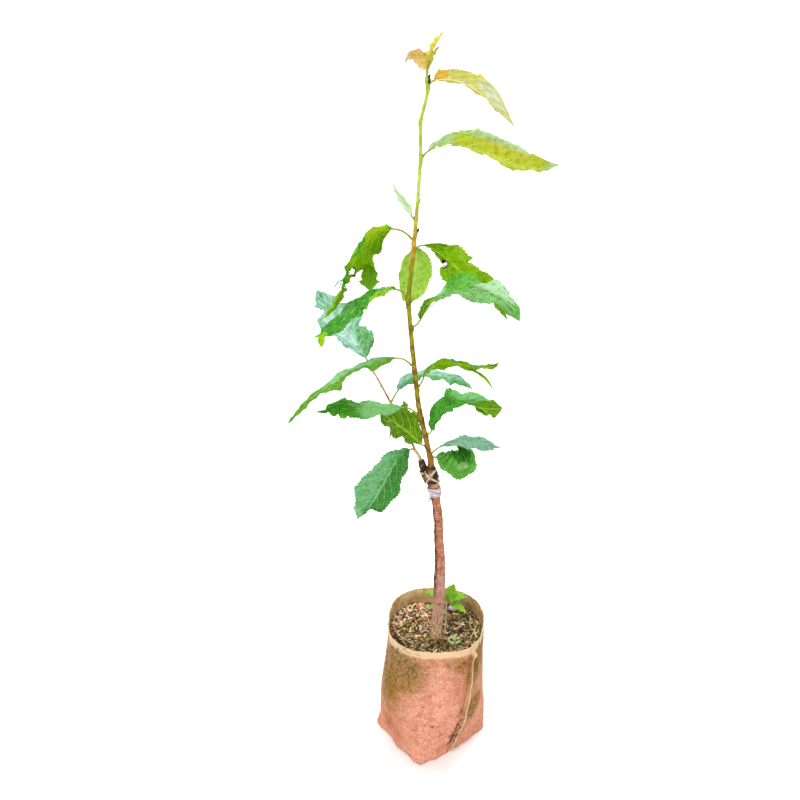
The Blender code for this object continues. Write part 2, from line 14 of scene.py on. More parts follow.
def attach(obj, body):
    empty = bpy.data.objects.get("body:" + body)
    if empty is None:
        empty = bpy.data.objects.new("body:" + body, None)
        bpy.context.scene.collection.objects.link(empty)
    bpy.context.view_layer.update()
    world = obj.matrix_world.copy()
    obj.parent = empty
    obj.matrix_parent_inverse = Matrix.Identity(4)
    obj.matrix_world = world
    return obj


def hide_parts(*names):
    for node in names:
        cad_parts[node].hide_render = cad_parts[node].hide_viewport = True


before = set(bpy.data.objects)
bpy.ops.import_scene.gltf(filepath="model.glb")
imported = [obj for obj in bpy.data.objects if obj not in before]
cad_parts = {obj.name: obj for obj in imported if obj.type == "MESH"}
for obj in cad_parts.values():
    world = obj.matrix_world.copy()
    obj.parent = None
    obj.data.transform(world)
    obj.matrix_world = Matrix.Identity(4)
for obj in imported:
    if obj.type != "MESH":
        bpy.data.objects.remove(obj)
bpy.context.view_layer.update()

GAP = 0.0003
FULL_TURN = 2 * math.pi

# ---------------------------------------------------------------- camera, floor and light

CAMERA_PLACE = (0.0, -0.661, 0.701)
CAMERA_TURN = (math.radians(71.7), 0.0, math.radians(4.1))
CAMERA_LENS = 27.05
SENSOR_WIDTH = 36.0
NEAREST_SEEN = 0.02

FLOOR_HALF_WIDTH, FLOOR_FRONT, FLOOR_BACK, FLOOR_RISE = 9.0, -6.0, 5.0, 7.0
FLOOR_BEND = 2.5
FLOOR_BEND_STEPS = 12
FLOOR_GREY = 0.93
FLOOR_ROUGHNESS = 0.9
SKY_COLOUR = (0.95, 0.98, 1.0, 1)
SKY_STRENGTH = 0.70

# Each light: name, place, what it aims at, size, power, colour
LIGHTS = (
    ("key", (-0.9, -1.7, 2.1), (0, 0, 0.40), 1.1, 34, (1.0, 0.98, 0.95)),
    ("fill", (1.8, -1.5, 1.3), (0, 0, 0.40), 1.6, 10, (0.95, 0.98, 1.0)),
    ("rim", (0.8, 1.6, 1.9), (0, 0, 0.50), 1.2, 10, (1, 1, 1)),
    ("wash", (0, 0.6, 3.6), (0, 5.0, 1.8), 3.0, 230, (1, 1, 1)),
)


def put_in_scene(name, data):
    thing = bpy.data.objects.new(name, data)
    bpy.context.scene.collection.objects.link(thing)
    return thing


def make_camera():
    data = bpy.data.cameras.new("camera")
    data.lens = CAMERA_LENS
    data.sensor_width = SENSOR_WIDTH
    data.clip_start = NEAREST_SEEN
    camera = put_in_scene("camera", data)
    camera.location = CAMERA_PLACE
    camera.rotation_euler = CAMERA_TURN
    bpy.context.scene.camera = camera


def make_stage():
    """A pale floor that curves up far behind."""
    profile = [(FLOOR_FRONT, 0.0), (FLOOR_BACK - FLOOR_BEND, 0.0)]
    for step in range(1, FLOOR_BEND_STEPS + 1):
        turn = math.pi / 2 * step / FLOOR_BEND_STEPS
        place = FLOOR_BACK - FLOOR_BEND + FLOOR_BEND * math.sin(turn)
        profile.append((place, FLOOR_BEND - FLOOR_BEND * math.cos(turn)))
    profile.append((FLOOR_BACK, FLOOR_RISE))
    verts = [(x, y, z) for y, z in profile for x in (-FLOOR_HALF_WIDTH, FLOOR_HALF_WIDTH)]
    faces = [(2 * i, 2 * i + 1, 2 * i + 3, 2 * i + 2) for i in range(len(profile) - 1)]
    mesh = bpy.data.meshes.new("floor")
    mesh.from_pydata(verts, [], faces)
    mesh.polygons.foreach_set("use_smooth", [True] * len(faces))
    paper = bpy.data.materials.new("floor_paper")
    paper.use_nodes = True
    shader = paper.node_tree.nodes["Principled BSDF"]
    shader.inputs["Base Color"].default_value = (FLOOR_GREY, FLOOR_GREY, FLOOR_GREY, 1)
    shader.inputs["Roughness"].default_value = FLOOR_ROUGHNESS
    mesh.materials.append(paper)
    put_in_scene("floor", mesh)


def make_light_rig():
    scene = bpy.context.scene
    scene.view_settings.view_transform = "Standard"
    scene.world = bpy.data.worlds.new("studio")
    scene.world.use_nodes = True
    sky = scene.world.node_tree.nodes["Background"]
    sky.inputs["Color"].default_value = SKY_COLOUR
    sky.inputs["Strength"].default_value = SKY_STRENGTH
    for name, place, target, size, power, colour in LIGHTS:
        data = bpy.data.lights.new(name, "AREA")
        data.size = size
        data.energy = power
        data.color = colour
        lamp = put_in_scene(name, data)
        lamp.location = place
        lamp.rotation_euler = (Vector(target) - Vector(place)).to_track_quat("-Z", "Y").to_euler()


# ---------------------------------------------------------------- shader writing


def srgb(*display):
    """A linear colour from 0 to 255 display values."""
    linear = []
    for value in display:
        share = value / 255
        linear.append(share / 12.92 if share <= 0.04045 else ((share + 0.055) / 1.055) ** 2.4)
    return (*linear, 1.0)


class Shader:
    """One Principled material: a first colour, and then one layer of colour over another."""

    def __init__(self, name, roughness, specular):
        self.material = bpy.data.materials.new(name)
        self.material.use_nodes = True
        self.tree = self.material.node_tree
        self.surface = self.tree.nodes["Principled BSDF"]
        self.put(self.surface.inputs["Roughness"], roughness)
        self.put(self.surface.inputs["Specular IOR Level"], specular)
        self.place = self.node("TexCoord", "Object", {})
        self.colour = None

    def put(self, socket, value):
        if isinstance(value, bpy.types.NodeSocket):
            self.tree.links.new(value, socket)
        elif value is not None:
            socket.default_value = value

    def node(self, kind, output, inputs, **settings):
        """An output of a new node, made with those settings and inputs."""
        node = self.tree.nodes.new("ShaderNode" + kind)
        for name, value in settings.items():
            setattr(node, name, value)
        for socket, value in inputs.items():
            self.put(node.inputs[socket], value)
        return node.outputs[output]

    def math(self, operation, a, b=None):
        return self.node("Math", 0, {0: a, 1: b}, operation=operation)

    def times(self, a, b):
        return self.math("MULTIPLY", a, b)

    def mix(self, share, a, b):
        """Colour a with b over it by share."""
        a, b = (srgb(*colour) if isinstance(colour, tuple) else colour for colour in (a, b))
        return self.node("Mix", 2, {0: share, 6: a, 7: b}, data_type="RGBA")

    def stretched(self, factors):
        """Where each point of the surface is, with its axes stretched."""
        return self.node("VectorMath", 0, {0: self.place, 1: factors}, operation="MULTIPLY")

    def noise(self, scale, detail=3, factors=None, distortion=0.0):
        inputs = {"Scale": scale, "Detail": detail, "Distortion": distortion}
        inputs["Vector"] = self.stretched(factors) if factors else self.place
        return self.node("TexNoise", 0, inputs)

    def cells(self, scale, feature="F1", output="Distance"):
        return self.node("TexVoronoi", output, {"Scale": scale, "Vector": self.place}, feature=feature)

    def span(self, value, low, high, to_low=0.0, to_high=1.0, kind="SMOOTHSTEP"):
        """value from low to high, eased into to_low to to_high."""
        limits = {"From Min": low, "From Max": high, "To Min": to_low, "To Max": to_high}
        return self.node("MapRange", "Result", {"Value": value, **limits}, interpolation_type=kind)

    def split(self, vector, axis):
        return self.node("SeparateXYZ", axis, {0: vector})

    def ramp(self, value, stops):
        colour = self.node("ValToRGB", "Color", {"Fac": value})
        marks = colour.node.color_ramp.elements
        while len(marks) < len(stops):
            marks.new(0.5)
        for mark, (position, *display) in zip(marks, stops):
            mark.position = position
            mark.color = srgb(*display)
        return colour

    def own(self, name, output="Fac"):
        """A value or vector that the mesh holds at each point."""
        return self.node("Attribute", output, {}, attribute_name=name)

    def lay(self, share, colour):
        """One more colour over the rest, by share."""
        self.colour = self.mix(share, self.colour, colour)

    def layers(self, *layers):
        """Colours over the rest: each has a pattern, the span where it shows, its most, and its colour."""
        for pattern, low, high, most, *display in layers:
            self.lay(self.span(pattern, low, high, 0, most), tuple(display))

    def done(self, relief, strength, distance, pattern=None, roughest=1.0, smoothest=1.0):
        """The material, with its bump, and with a roughness that follows a pattern."""
        self.put(self.surface.inputs["Base Color"], self.colour)
        bump = self.node("Bump", 0, {"Strength": strength, "Distance": distance, "Height": relief})
        self.put(self.surface.inputs["Normal"], bump)
        if pattern:
            self.put(self.surface.inputs["Roughness"], self.span(pattern, 0.3, 0.7, roughest, smoothest))
        return self.material


def plain(name, base, second, scale=300, roughness=0.85, strength=0.4, distance=0.0005, specular=0.3):
    """A material of two mottled colours with a rough surface."""
    shader = Shader(name, roughness, specular)
    mottle = shader.noise(scale, 4)
    shader.colour = shader.mix(shader.span(mottle, 0.32, 0.68), base, second)
    roughest, smoothest = min(1, roughness + 0.08), max(0.05, roughness - 0.10)
    return shader.done(shader.noise(scale * 3), strength, distance, mottle, roughest, smoothest)


# ---------------------------------------------------------------- mesh building


class Build:
    """Surfaces gathered into one mesh piece, with values at its points."""

    def __init__(self, name, materials):
        self.name = name
        self.materials = materials
        self.points = []
        self.faces = []
        self.kinds = []
        self.values = {}
        self.count = 0

    def add(self, points, faces, kind=0, **values):
        points = np.asarray(points, float).reshape(-1, 3)
        for name, value in values.items():
            self.values.setdefault(name, []).append((self.count, np.asarray(value, float)))
        self.points.append(points)
        self.faces.append(np.asarray(faces, int) + self.count)
        self.kinds.append(np.broadcast_to(kind, len(faces)))
        self.count += len(points)

    def grid(self, grid, kind=0, closed=False, flip=False, **values):
        """A sheet through rows of points; closed joins the ends of each row."""
        rows, columns = grid.shape[:2]
        index = np.arange(rows * columns).reshape(rows, columns)
        if closed:
            index = np.concatenate([index, index[:, :1]], axis=1)
        a, b, c, d = corners(index)
        faces = np.stack([a, d, c, b] if flip else [a, b, c, d], axis=1)
        self.add(grid, faces, kind, **values)

    def finish(self, node):
        """The piece itself, in the place of one node of the part."""
        mesh = bpy.data.meshes.new(self.name)
        points = np.concatenate(self.points)
        loops = np.concatenate([faces.ravel() for faces in self.faces])
        totals = np.concatenate([np.full(len(faces), faces.shape[1]) for faces in self.faces])
        mesh.vertices.add(len(points))
        mesh.vertices.foreach_set("co", points.ravel())
        mesh.loops.add(len(loops))
        mesh.loops.foreach_set("vertex_index", loops)
        mesh.polygons.add(len(totals))
        mesh.polygons.foreach_set("loop_start", np.cumsum(totals) - totals)
        mesh.polygons.foreach_set("loop_total", totals)
        mesh.polygons.foreach_set("material_index", np.concatenate(self.kinds))
        mesh.polygons.foreach_set("use_smooth", np.full(len(totals), True))
        for name, parts in self.values.items():
            width = 3 if parts[0][1].ndim > 1 else 1
            data = np.zeros((len(points), width))
            for start, value in parts:
                value = value.reshape(-1, width)
                data[start : start + len(value)] = value
            made = mesh.attributes.new(name, "FLOAT_VECTOR" if width == 3 else "FLOAT", "POINT")
            made.data.foreach_set("vector" if width == 3 else "value", data.ravel())
        for material in self.materials:
            mesh.materials.append(material)
        mesh.update(calc_edges=True)
        mesh.validate()
        piece = put_in_scene(self.name, mesh)
        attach(piece, "root")
        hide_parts(node)


def corners(index, kept=...):
    """The four corners of every cell of a grid of point numbers, or of the cells that are kept."""
    return (part[kept].ravel() for part in (index[:-1, :-1], index[:-1, 1:], index[1:, 1:], index[1:, :-1]))


def smooth_step(value):
    value = np.clip(value, 0.0, 1.0)
    return value * value * (3 - 2 * value)


def hump(value):
    """1 at 0, and falling away to both sides."""
    return np.exp(-(value**2))


def mix(a, b, share):
    return a + (b - a) * share


def unit(vectors):
    return vectors / np.maximum(np.linalg.norm(vectors, axis=-1, keepdims=True), 1e-12)


def noise_at(points, scale, seed=0.0, stretch=(1, 1, 1)):
    """Smooth noise of about -1 to 1 at each point."""
    places = np.asarray(points, float).reshape(-1, 3) * scale * np.array(stretch) + seed
    values = np.array([noise.noise(Vector(place)) for place in places])
    return values.reshape(np.asarray(points).shape[:-1])


def along_z(heights):
    """Points on the Z axis, where the noise for a value that changes with height alone is taken."""
    return np.stack([heights * 0, heights * 0, heights], -1)


def wrapped(angle):
    return (angle + math.pi) % FULL_TURN - math.pi


# ---------------------------------------------------------------- nursery bag

BAG_CIRCUMFERENCE = 0.400
BAG_HEIGHT = 0.181
BAG_WALL = 0.0012
RIM_RADIUS = BAG_CIRCUMFERENCE / FULL_TURN
FOOT_HALF_WIDTH = 0.0735
FOOT_HALF_DEPTH = 0.0650
FOOT_CENTRE = (-0.0035, 0.0010)
FOOT_SKEW = 0.20
FOOT_SQUARENESS = 1.18
RIM_SQUARENESS = 2.6
FOOT_ROUNDING = 0.003
EAR_REACH = 0.005
RIM_TILT = 0.002
CRUMPLE = 0.0009
BAG_COLUMNS = 288

SEAM_WIDTH = 0.0065
SEAM_HALF_THICKNESS = 0.00045
SEAM_FOOT_HEIGHT = 0.004
SEAM_BEARING_AT_RIM = math.radians(-49)
SEAM_BEARING_AT_FOOT = math.radians(-53)
SEAM_BOW = math.radians(4)
SEAM_ROWS = 130

SOIL_LEVEL = 0.160
SOIL_RELIEF = 0.0028
SOIL_INSET = 0.0060
TRUNK_FOOT = (0.0010, -0.014)


def bag_point(bearing, height, outward=0.0):
    """Points on the outside of the bag, moved outward by so much along its radius."""
    share = height / BAG_HEIGHT
    power = mix(FOOT_SQUARENESS, RIM_SQUARENESS, smooth_step(share * 1.3))
    grown = smooth_step(share * 1.1)
    wide = np.abs(np.cos(bearing)) / mix(FOOT_HALF_WIDTH, RIM_RADIUS, grown)
    deep = np.abs(np.sin(bearing)) / mix(FOOT_HALF_DEPTH, RIM_RADIUS, grown)
    radius = (wide**power + deep**power) ** (-1 / power)
    off_left = np.abs(wrapped(bearing - math.pi))
    radius = radius + EAR_REACH * np.maximum(0, 1 - off_left / 0.25) * np.maximum(0, 1 - height / 0.02)
    folds = np.sin(7 * bearing + 40 * height) + np.sin(11 * bearing - 25 * height)
    radius = radius + CRUMPLE * folds * np.sin(math.pi * np.clip(share, 0, 1))
    radius = radius - FOOT_ROUNDING * (1 - np.minimum(1.0, height / FOOT_ROUNDING)) ** 2 + outward
    settled = 1 - smooth_step(share)
    across = radius * (np.cos(bearing) + FOOT_SKEW * settled * np.sin(bearing))
    along = radius * np.sin(bearing)
    up = height + RIM_TILT * np.cos(bearing) * share**4
    return np.stack([FOOT_CENTRE[0] * settled + across, FOOT_CENTRE[1] * settled + along, up], -1)


def seam_bearing(height):
    share = np.clip((height - SEAM_FOOT_HEIGHT) / (BAG_HEIGHT - SEAM_FOOT_HEIGHT), 0, 1)
    bearing = mix(SEAM_BEARING_AT_FOOT, SEAM_BEARING_AT_RIM, share)
    return bearing + SEAM_BOW * np.sin(math.pi * share**0.6)


# Stains on the cloth, by kind, with painted shade among the tan and damp ones: bearing in degrees, height,
# reach round in degrees, reach up, strength
STAINS = {
    "algae": ((-132, 0.148, 26, 0.028, 1.9), (-116, 0.155, 16, 0.015, 1.3), (-152, 0.122, 20, 0.050, 1.3),
              (170, 0.140, 40, 0.040, 0.8), (-26, 0.155, 18, 0.028, 1.6), (100, 0.130, 40, 0.045, 0.7)),
    "olive": ((-140, 0.112, 18, 0.028, 1.0), (-120, 0.130, 14, 0.018, 1.0), (-104, 0.162, 16, 0.005, 0.25),
              (-60, 0.158, 9, 0.013, 1.5), (-70, 0.163, 9, 0.008, 0.9), (-40, 0.145, 10, 0.034, 1.2),
              (-29, 0.070, 11, 0.024, 1.9), (-41, 0.160, 6, 0.020, 1.6), (40, 0.130, 50, 0.045, 0.5)),
    "pink": ((-80, 0.105, 20, 0.045, 0.9), (-16, 0.105, 8, 0.022, 0.9), (-85, 0.030, 28, 0.026, 1.0)),
    # The first two tan entries, low on the left, are painted shade; the other two are tan stains.
    "tan_and_shade": ((-142, 0.036, 26, 0.030, 0.8), (-136, 0.080, 16, 0.030, 0.5), (-60, 0.118, 9, 0.020, 0.3),
            (-30, 0.110, 9, 0.030, 0.3)),
    # Inside the lining: the entries at -10 and 48 degrees darken its right and back-right, partly green-brown
    # stain and partly painted shade; the one at 150 is an olive stain.
    "wet": ((-10, 0.172, 42, 0.020, 1.0), (48, 0.166, 30, 0.008, 0.9), (150, 0.166, 60, 0.007, 0.7)),
    "dirt": ((-72, 0.157, 1.3, 0.0013, 0.9), (-90, 0.111, 1.2, 0.0012, 0.7), (-96, 0.093, 1.2, 0.0014, 0.8),
             (-81, 0.064, 1.6, 0.0016, 1.0), (-67, 0.044, 1.2, 0.0012, 0.9), (-49, 0.078, 2.4, 0.0060, 1.1),
             (-52, 0.072, 3.6, 0.0014, 0.9), (-49, 0.052, 2.0, 0.0080, 1.0), (-51, 0.028, 2.6, 0.0110, 1.2),
             (-56, 0.034, 1.2, 0.0020, 0.9), (-55, 0.018, 1.6, 0.0040, 1.0)),
}


def stain_values(bearing, height, places):
    """How strongly each kind of stain and painted shade shows at each point of the cloth, with ragged edges.
    """
    ragged = noise_at(places, 60, 3.0) * 0.5 + noise_at(places, 170, 8.0) * 0.35
    values = {}
    for kind, stains in STAINS.items():
        value = np.zeros(bearing.shape)
        for middle, level, reach_round, reach_up, strength in stains:
            off_round = wrapped(bearing - math.radians(middle)) / math.radians(reach_round)
            off_up = (height - level) / reach_up
            value = np.maximum(value, strength * np.exp(-(off_round**2) - off_up**2))
        if kind == "dirt":
            value = value * (0.75 + 1.6 * noise_at(places, 420, 6.0))
        values[kind] = np.clip(value * (1 + 1.4 * ragged), 0, 1).ravel()
    drop = 0.0084 + 0.0022 * noise_at(places, 45, 21.0)
    values["band"] = (1 - smooth_step((BAG_HEIGHT - height - drop) / 0.0024)).ravel()
    return values


def rim_wave(bearing, height):
    """How far the cloth near the rim is raised."""
    wave = 0.00045 * np.sin(5 * bearing + 1) + 0.00030 * np.sin(13 * bearing)
    wave = wave + 0.00020 * np.sin(37 * bearing + 2)
    wave = wave + 0.0034 * hump(wrapped(bearing - math.radians(105)) / 0.9) - 0.0009
    return wave * smooth_step((height - 0.150) / 0.03)


def panel_setback(bearing, height):
    """The cloth right of the seam lies a little further in."""
    past = wrapped(bearing - seam_bearing(height))
    near = smooth_step(past / math.radians(2.5)) * (1 - smooth_step((past - 0.35) / 0.6))
    return 0.0018 * near * smooth_step(height / 0.03)


def cloth_surface(bearing, height, outward):
    """Points on the bag's cloth with its creases, and its pleats near the foot."""
    flat = bag_point(bearing, height)
    crease = 0.0007 * noise_at(flat, 38, 5.0, (1, 1, 0.6)) + 0.00022 * noise_at(flat, 150, 9.0)
    crease = crease - 0.0005 * np.abs(np.sin(9 * bearing + 60 * height)) ** 12
    pleats = 0.0024 * noise_at(flat, 55, 31.0, (1, 1, 0.3)) + 0.0011 * noise_at(flat, 170, 33.0, (1, 1, 0.3))
    for side in (-99, -73):
        pleats = pleats + 0.0024 * hump(wrapped(bearing - math.radians(side)) / math.radians(6))
    pleats = (pleats - 0.0006) * (1 - smooth_step(height / 0.030))
    lift = outward - panel_setback(bearing, height) + (crease - 0.0006) * smooth_step(height / 0.012) + pleats
    return bag_point(bearing, height, lift)


def cloth_material(name, inner=False):
    cloth = Shader(name, 0.92, 0.1)
    fibre = cloth.noise(620, 5, None, 1.2)
    patchy = cloth.noise(50, 4)
    threads = cloth.noise(1900, 2, (1, 1, 0.4))
    if inner:
        cloth.colour = cloth.mix(cloth.span(patchy, 0.35, 0.65), (244, 224, 168), (206, 182, 120))
        # Green-brown stains, and painted shade on the right of the lining.
        cloth.lay(cloth.times(cloth.own("wet"), 0.8), (126, 104, 50))
    else:
        cloth.colour = cloth.mix(cloth.span(patchy, 0.35, 0.68), (230, 162, 136), (210, 138, 104))
        cloth.lay(cloth.times(cloth.own("pink"), 0.8), (240, 168, 144))
        # Tan stains, and painted shade low on the bag's left side.
        cloth.lay(cloth.times(cloth.own("tan_and_shade"), 0.9), (176, 102, 60))
    cloth.layers(
        (cloth.noise(125, 4), 0.52, 0.36, 0.45, 176, 104, 70),
        (cloth.noise(300, 4), 0.56, 0.40, 0.28, 156, 86, 54),
        (fibre, 0.50, 0.36, 0.25 if inner else 0.42, 128, 66, 38),
        (fibre, 0.52, 0.64, 0.34, 250, 200, 172),
        (threads, 0.58, 0.74, 0.20, 250, 222, 196),
    )
    if not inner:
        thin = cloth.span(fibre, 0.60, 0.42, 0.45, 0.95)
        cloth.lay(cloth.times(cloth.own("algae"), thin), (112, 98, 40))
        cloth.lay(cloth.times(cloth.own("olive"), thin), (134, 98, 6))
        cloth.lay(cloth.times(cloth.own("band"), 0.70), (232, 206, 164))
        grown = cloth.math("MAXIMUM", cloth.own("algae"), cloth.own("olive"))
        cloth.lay(cloth.times(cloth.span(cloth.noise(210), 0.48, 0.64, 0, 0.7), grown), (74, 70, 26))
    sparse = cloth.span(cloth.noise(38, 2), 0.55, 0.64, 0, 0.85)
    cloth.lay(cloth.times(cloth.span(cloth.cells(420), 0.06, 0.14, 1, 0), sparse), (86, 50, 28))
    if not inner:
        cloth.lay(cloth.own("dirt"), (70, 36, 20))
    relief = cloth.math("ADD", cloth.times(fibre, 0.7), cloth.times(threads, 0.3))
    return cloth.done(relief, 0.75, 0.0008, fibre, 0.98, 0.84)


def edge_material(name):
    edge = Shader(name, 0.9, 0.2)
    fray = edge.noise(700)
    edge.colour = edge.mix(edge.span(fray, 0.3, 0.7), (232, 208, 172), (196, 166, 124))
    edge.lay(edge.own("dirt"), (150, 100, 66))
    return edge.done(fray, 0.5, 0.0004)


def cloth_sheet(heights, outward):
    """The bag's cloth at those heights: the points, and the bearing and height of each."""
    bearing = np.linspace(0, FULL_TURN, BAG_COLUMNS, endpoint=False)
    turn, level = np.broadcast_arrays(bearing[None], heights[:, None])
    sheet = cloth_surface(turn, level, outward)
    sheet[..., 2] += rim_wave(turn, level)
    return sheet, turn, level


def make_bag(outer, inner, edge):
    bag = Build("bag", [outer, inner, edge])
    near_foot = [0, 0.0004, 0.0009, 0.0016, 0.003]
    wall, turn, level = cloth_sheet(
        np.concatenate([near_foot, np.arange(0.005, BAG_HEIGHT - 0.001, 0.002), [BAG_HEIGHT]]), 0.0)
    wall[0, :, 2] = 0.0
    bag.grid(wall, 0, closed=True, **stain_values(turn, level, wall))
    underside = wall[0][None] * np.linspace(1, 0.02, 12)[:, None, None]
    underside[..., 2] = 0.0
    bag.grid(underside, 0, closed=True, flip=True)
    lining, turn, level = cloth_sheet(np.arange(BAG_HEIGHT, SOIL_LEVEL - 0.014, -0.0015), -BAG_WALL)
    bag.grid(lining, 1, closed=True, flip=True, wet=stain_values(turn, level, lining)["wet"])
    middle = (wall[-1] + lining[0]) / 2
    middle[:, 2] += 0.0003
    bag.grid(np.stack([wall[-1], middle, lining[0]]), 2, closed=True)
    bag.finish("grow_bag")


def make_seam(cloth, edge):
    """The sewn fin, ragged along its free edge, with a flap turned out at the rim."""
    heights = np.linspace(SEAM_FOOT_HEIGHT, BAG_HEIGHT - 0.0008, SEAM_ROWS)[:, None]
    outs = np.array([-0.15, 0.0, 0.25, 0.5, 0.75, 0.92, 1.0])[None, :]
    grime_outs = np.array([0.9, 0.9, 0.9, 0.9, 0.8, 0.45, 0.3])
    ragged = noise_at(along_z(heights), 260, 2.0) + 0.5 * noise_at(along_z(heights), 900, 2.0)
    width = SEAM_WIDTH * (0.90 + 0.10 * ragged) * smooth_step((heights - SEAM_FOOT_HEIGHT + 0.004) / 0.012)
    share = (heights - SEAM_FOOT_HEIGHT) / (BAG_HEIGHT - SEAM_FOOT_HEIGHT)
    lean = 0.03 * outs * np.sin(5 * share) + 0.05 * outs**2 * noise_at(along_z(heights), 40, 7.0)
    lean = lean + 0.07 * outs * hump((heights - BAG_HEIGHT + 0.009) / 0.005)
    bearing = seam_bearing(heights)
    grid = bag_point(bearing + lean, heights + 0 * outs, GAP + width * outs)
    side = np.stack([-np.sin(bearing), np.cos(bearing), 0 * bearing], -1)
    right, left = grid + side * SEAM_HALF_THICKNESS, grid - side * SEAM_HALF_THICKNESS
    kinds = np.tile([0] * (outs.size - 3) + [1] * 2, SEAM_ROWS - 1)
    values = stain_values(*(np.broadcast_to(part, grid.shape[:2]) for part in (bearing, heights)), grid)
    values["band"] = np.maximum(values["band"], 0.25)
    grime = hump((heights - 0.048) / 0.036) * (0.7 + 1.5 * noise_at(grid, 420, 3.0))
    values["dirt"] = np.clip(grime * grime_outs, 0, 1).ravel()
    seam = Build("seam", [cloth, edge])
    seam.grid(right, kinds, flip=True, **values)
    seam.grid(left, kinds, **values)
    seam.grid(np.stack([right[:, -1], left[:, -1]], 1), 1, flip=True)
    seam.grid(np.stack([right[-1], left[-1]]), 1, flip=True)
    seam.grid(np.stack([right[0], left[0]]), 1)
    seam.finish("bag_seam")


# ---------------------------------------------------------------- soil and what lies on it

RED_CHIP, TAN_CHIP, DARK_CHIP, GRIT, MOSS, STALK, LILAC_STONE, WEED = range(1, 9)
CHIP_KINDS = [RED_CHIP] + [TAN_CHIP] * 3 + [DARK_CHIP] * 3 + [TAN_CHIP, RED_CHIP]
HEAP_KINDS = [RED_CHIP, TAN_CHIP, TAN_CHIP, RED_CHIP, DARK_CHIP]
# Where chips and moss gather: x, y, reach
CHIP_HEAPS = ((-0.044, 0.045, 0.014), (-0.030, 0.030, 0.016), (-0.050, 0.015, 0.012), (-0.018, 0.048, 0.014))
MOSS_HEAPS = ((-0.0346, 0.0093, 0.012), (-0.0138, -0.020, 0.010), (0.0457, 0.015, 0.012),
              (0.0314, 0.0304, 0.010), (-0.036, -0.028, 0.014), (0.030, -0.035, 0.011),
              (-0.010, -0.045, 0.015), (0.048, -0.010, 0.010), (0.026, 0.004, 0.010))
CHIP_COUNT = 760
CHIPS_IN_A_HEAP = 34
GRIT_COUNT = 110
STALK_COUNT = 46
MOSS_PER_METRE = 26000
MOSS_HALF_WIDTH = 0.00035
TRUNK_CLEARANCE = 0.0125
SOIL_COLUMNS, SOIL_ROWS = 220, 84
LARGE_GRIT = ((-0.0596, 0.030), (-0.0216, -0.0113), (-0.055, 0.012), (0.012, 0.040))
# Dry stalks: the two ends, and the radius
LONG_STALKS = (((0.0446, -0.0142), (0.0570, 0.0200), 0.0006), ((-0.050, -0.010), (-0.028, -0.026), 0.0005),
               ((-0.020, 0.030), (0.006, 0.046), 0.0006), ((0.020, -0.040), (0.040, -0.030), 0.0004))
WEED_PLACE = (0.0240, -0.0335)
# The weed's leaves: height on its stem, bearing, length
WEED_LEAVES = ((0.006, 160, 0.009), (0.007, 20, 0.009), (0.012, 100, 0.008),
               (0.012, 250, 0.009), (0.016, 330, 0.008), (0.016, 200, 0.008))


def soil_ground(x, y):
    """The soil's height with its crumbs, a mound at the trunk's foot, and two hollows."""
    reach = np.hypot(x - TRUNK_FOOT[0], y - TRUNK_FOOT[1])
    lumps = np.sin(90 * x + 1.3) * np.cos(80 * y) + 0.6 * np.sin(170 * x + 120 * y)
    level = SOIL_LEVEL + SOIL_RELIEF * lumps * smooth_step((reach - 0.012) / 0.02) * 0.6
    places = np.stack([x, y, 0 * x], -1)
    crumbs = 0.0011 * noise_at(places, 140, 1.0) + 0.0007 * noise_at(places, 420, 4.0)
    hollow = 0.0050 * np.exp(-(((x - 0.0075) / 0.004) ** 2) - ((y + 0.0310) / 0.0040) ** 2)
    hollow = hollow + 0.0040 * np.exp(-(((x - 0.027) / 0.008) ** 2) - ((y - 0.022) / 0.007) ** 2)
    return level + 0.0085 * hump(reach / 0.019) + crumbs - hollow - 0.0004


def ground_at(x, y):
    return float(soil_ground(np.array([x]), np.array([y]))[0])


def soil_material():
    soil = Shader("soil_crumb", 0.95, 0.1)
    coarse = soil.noise(60, 4)
    # The dark stops are partly dark soil and partly painted shade for the gaps between the chips.
    soil.colour = soil.ramp(soil.split(soil.cells(430, output="Color"), 0), [
        (0.0, 34, 22, 14), (0.30, 92, 60, 38), (0.55, 170, 126, 88), (0.75, 70, 50, 28),
        (1.0, 228, 200, 156)])
    soil.layers((coarse, 0.45, 0.65, 0.6, 104, 92, 26))
    return soil.done(soil.math("ADD", soil.cells(430), soil.noise(1500)), 0.9, 0.0012, coarse, 1.0, 0.85)


def rough_lump(build, place, size, spin, kind, rng, sides=6):
    """A small irregular chip: four rings of a few points and two ends."""
    turns = FULL_TURN * np.arange(sides) / sides
    length, width, height = size
    rings = []
    for level, spread in ((-0.5, 0.35), (-0.25, 0.95), (0.25, 1.0), (0.5, 0.3)):
        radius = spread * rng.uniform(0.7, 1.15, sides)
        rings.append(np.stack([level * length + rng.uniform(-0.06, 0.06, sides) * length,
                               np.cos(turns) * radius * width / 2, np.sin(turns) * radius * height / 2], -1))
    rings = np.array(rings)
    ends = np.array([rings[0].mean(0), rings[-1].mean(0)])
    cos, sin = math.cos(spin), math.sin(spin)
    tilt = rng.uniform(-0.5, 0.5)
    turn = np.array([[cos * math.cos(tilt), -sin, cos * math.sin(tilt)],
                     [sin * math.cos(tilt), cos, sin * math.sin(tilt)],
                     [-math.sin(tilt), 0, math.cos(tilt)]])
    points = np.concatenate([rings.reshape(-1, 3), ends]) @ turn.T + place
    faces = []
    for ring in range(3):
        for side in range(sides):
            a, b = ring * sides + side, ring * sides + (side + 1) % sides
            faces += [(a, b, b + sides), (a, b + sides, a + sides)]
    for side in range(sides):
        following = (side + 1) % sides
        faces += [(side, 4 * sides, following), (3 * sides + side, 3 * sides + following, 4 * sides + 1)]
    build.add(points, np.array(faces)[:, ::-1], kind)


def bag_inside(turn):
    """A point a little in from the bag's wall, at the soil's level."""
    return bag_point(np.array(turn), np.array(SOIL_LEVEL), -SOIL_INSET)


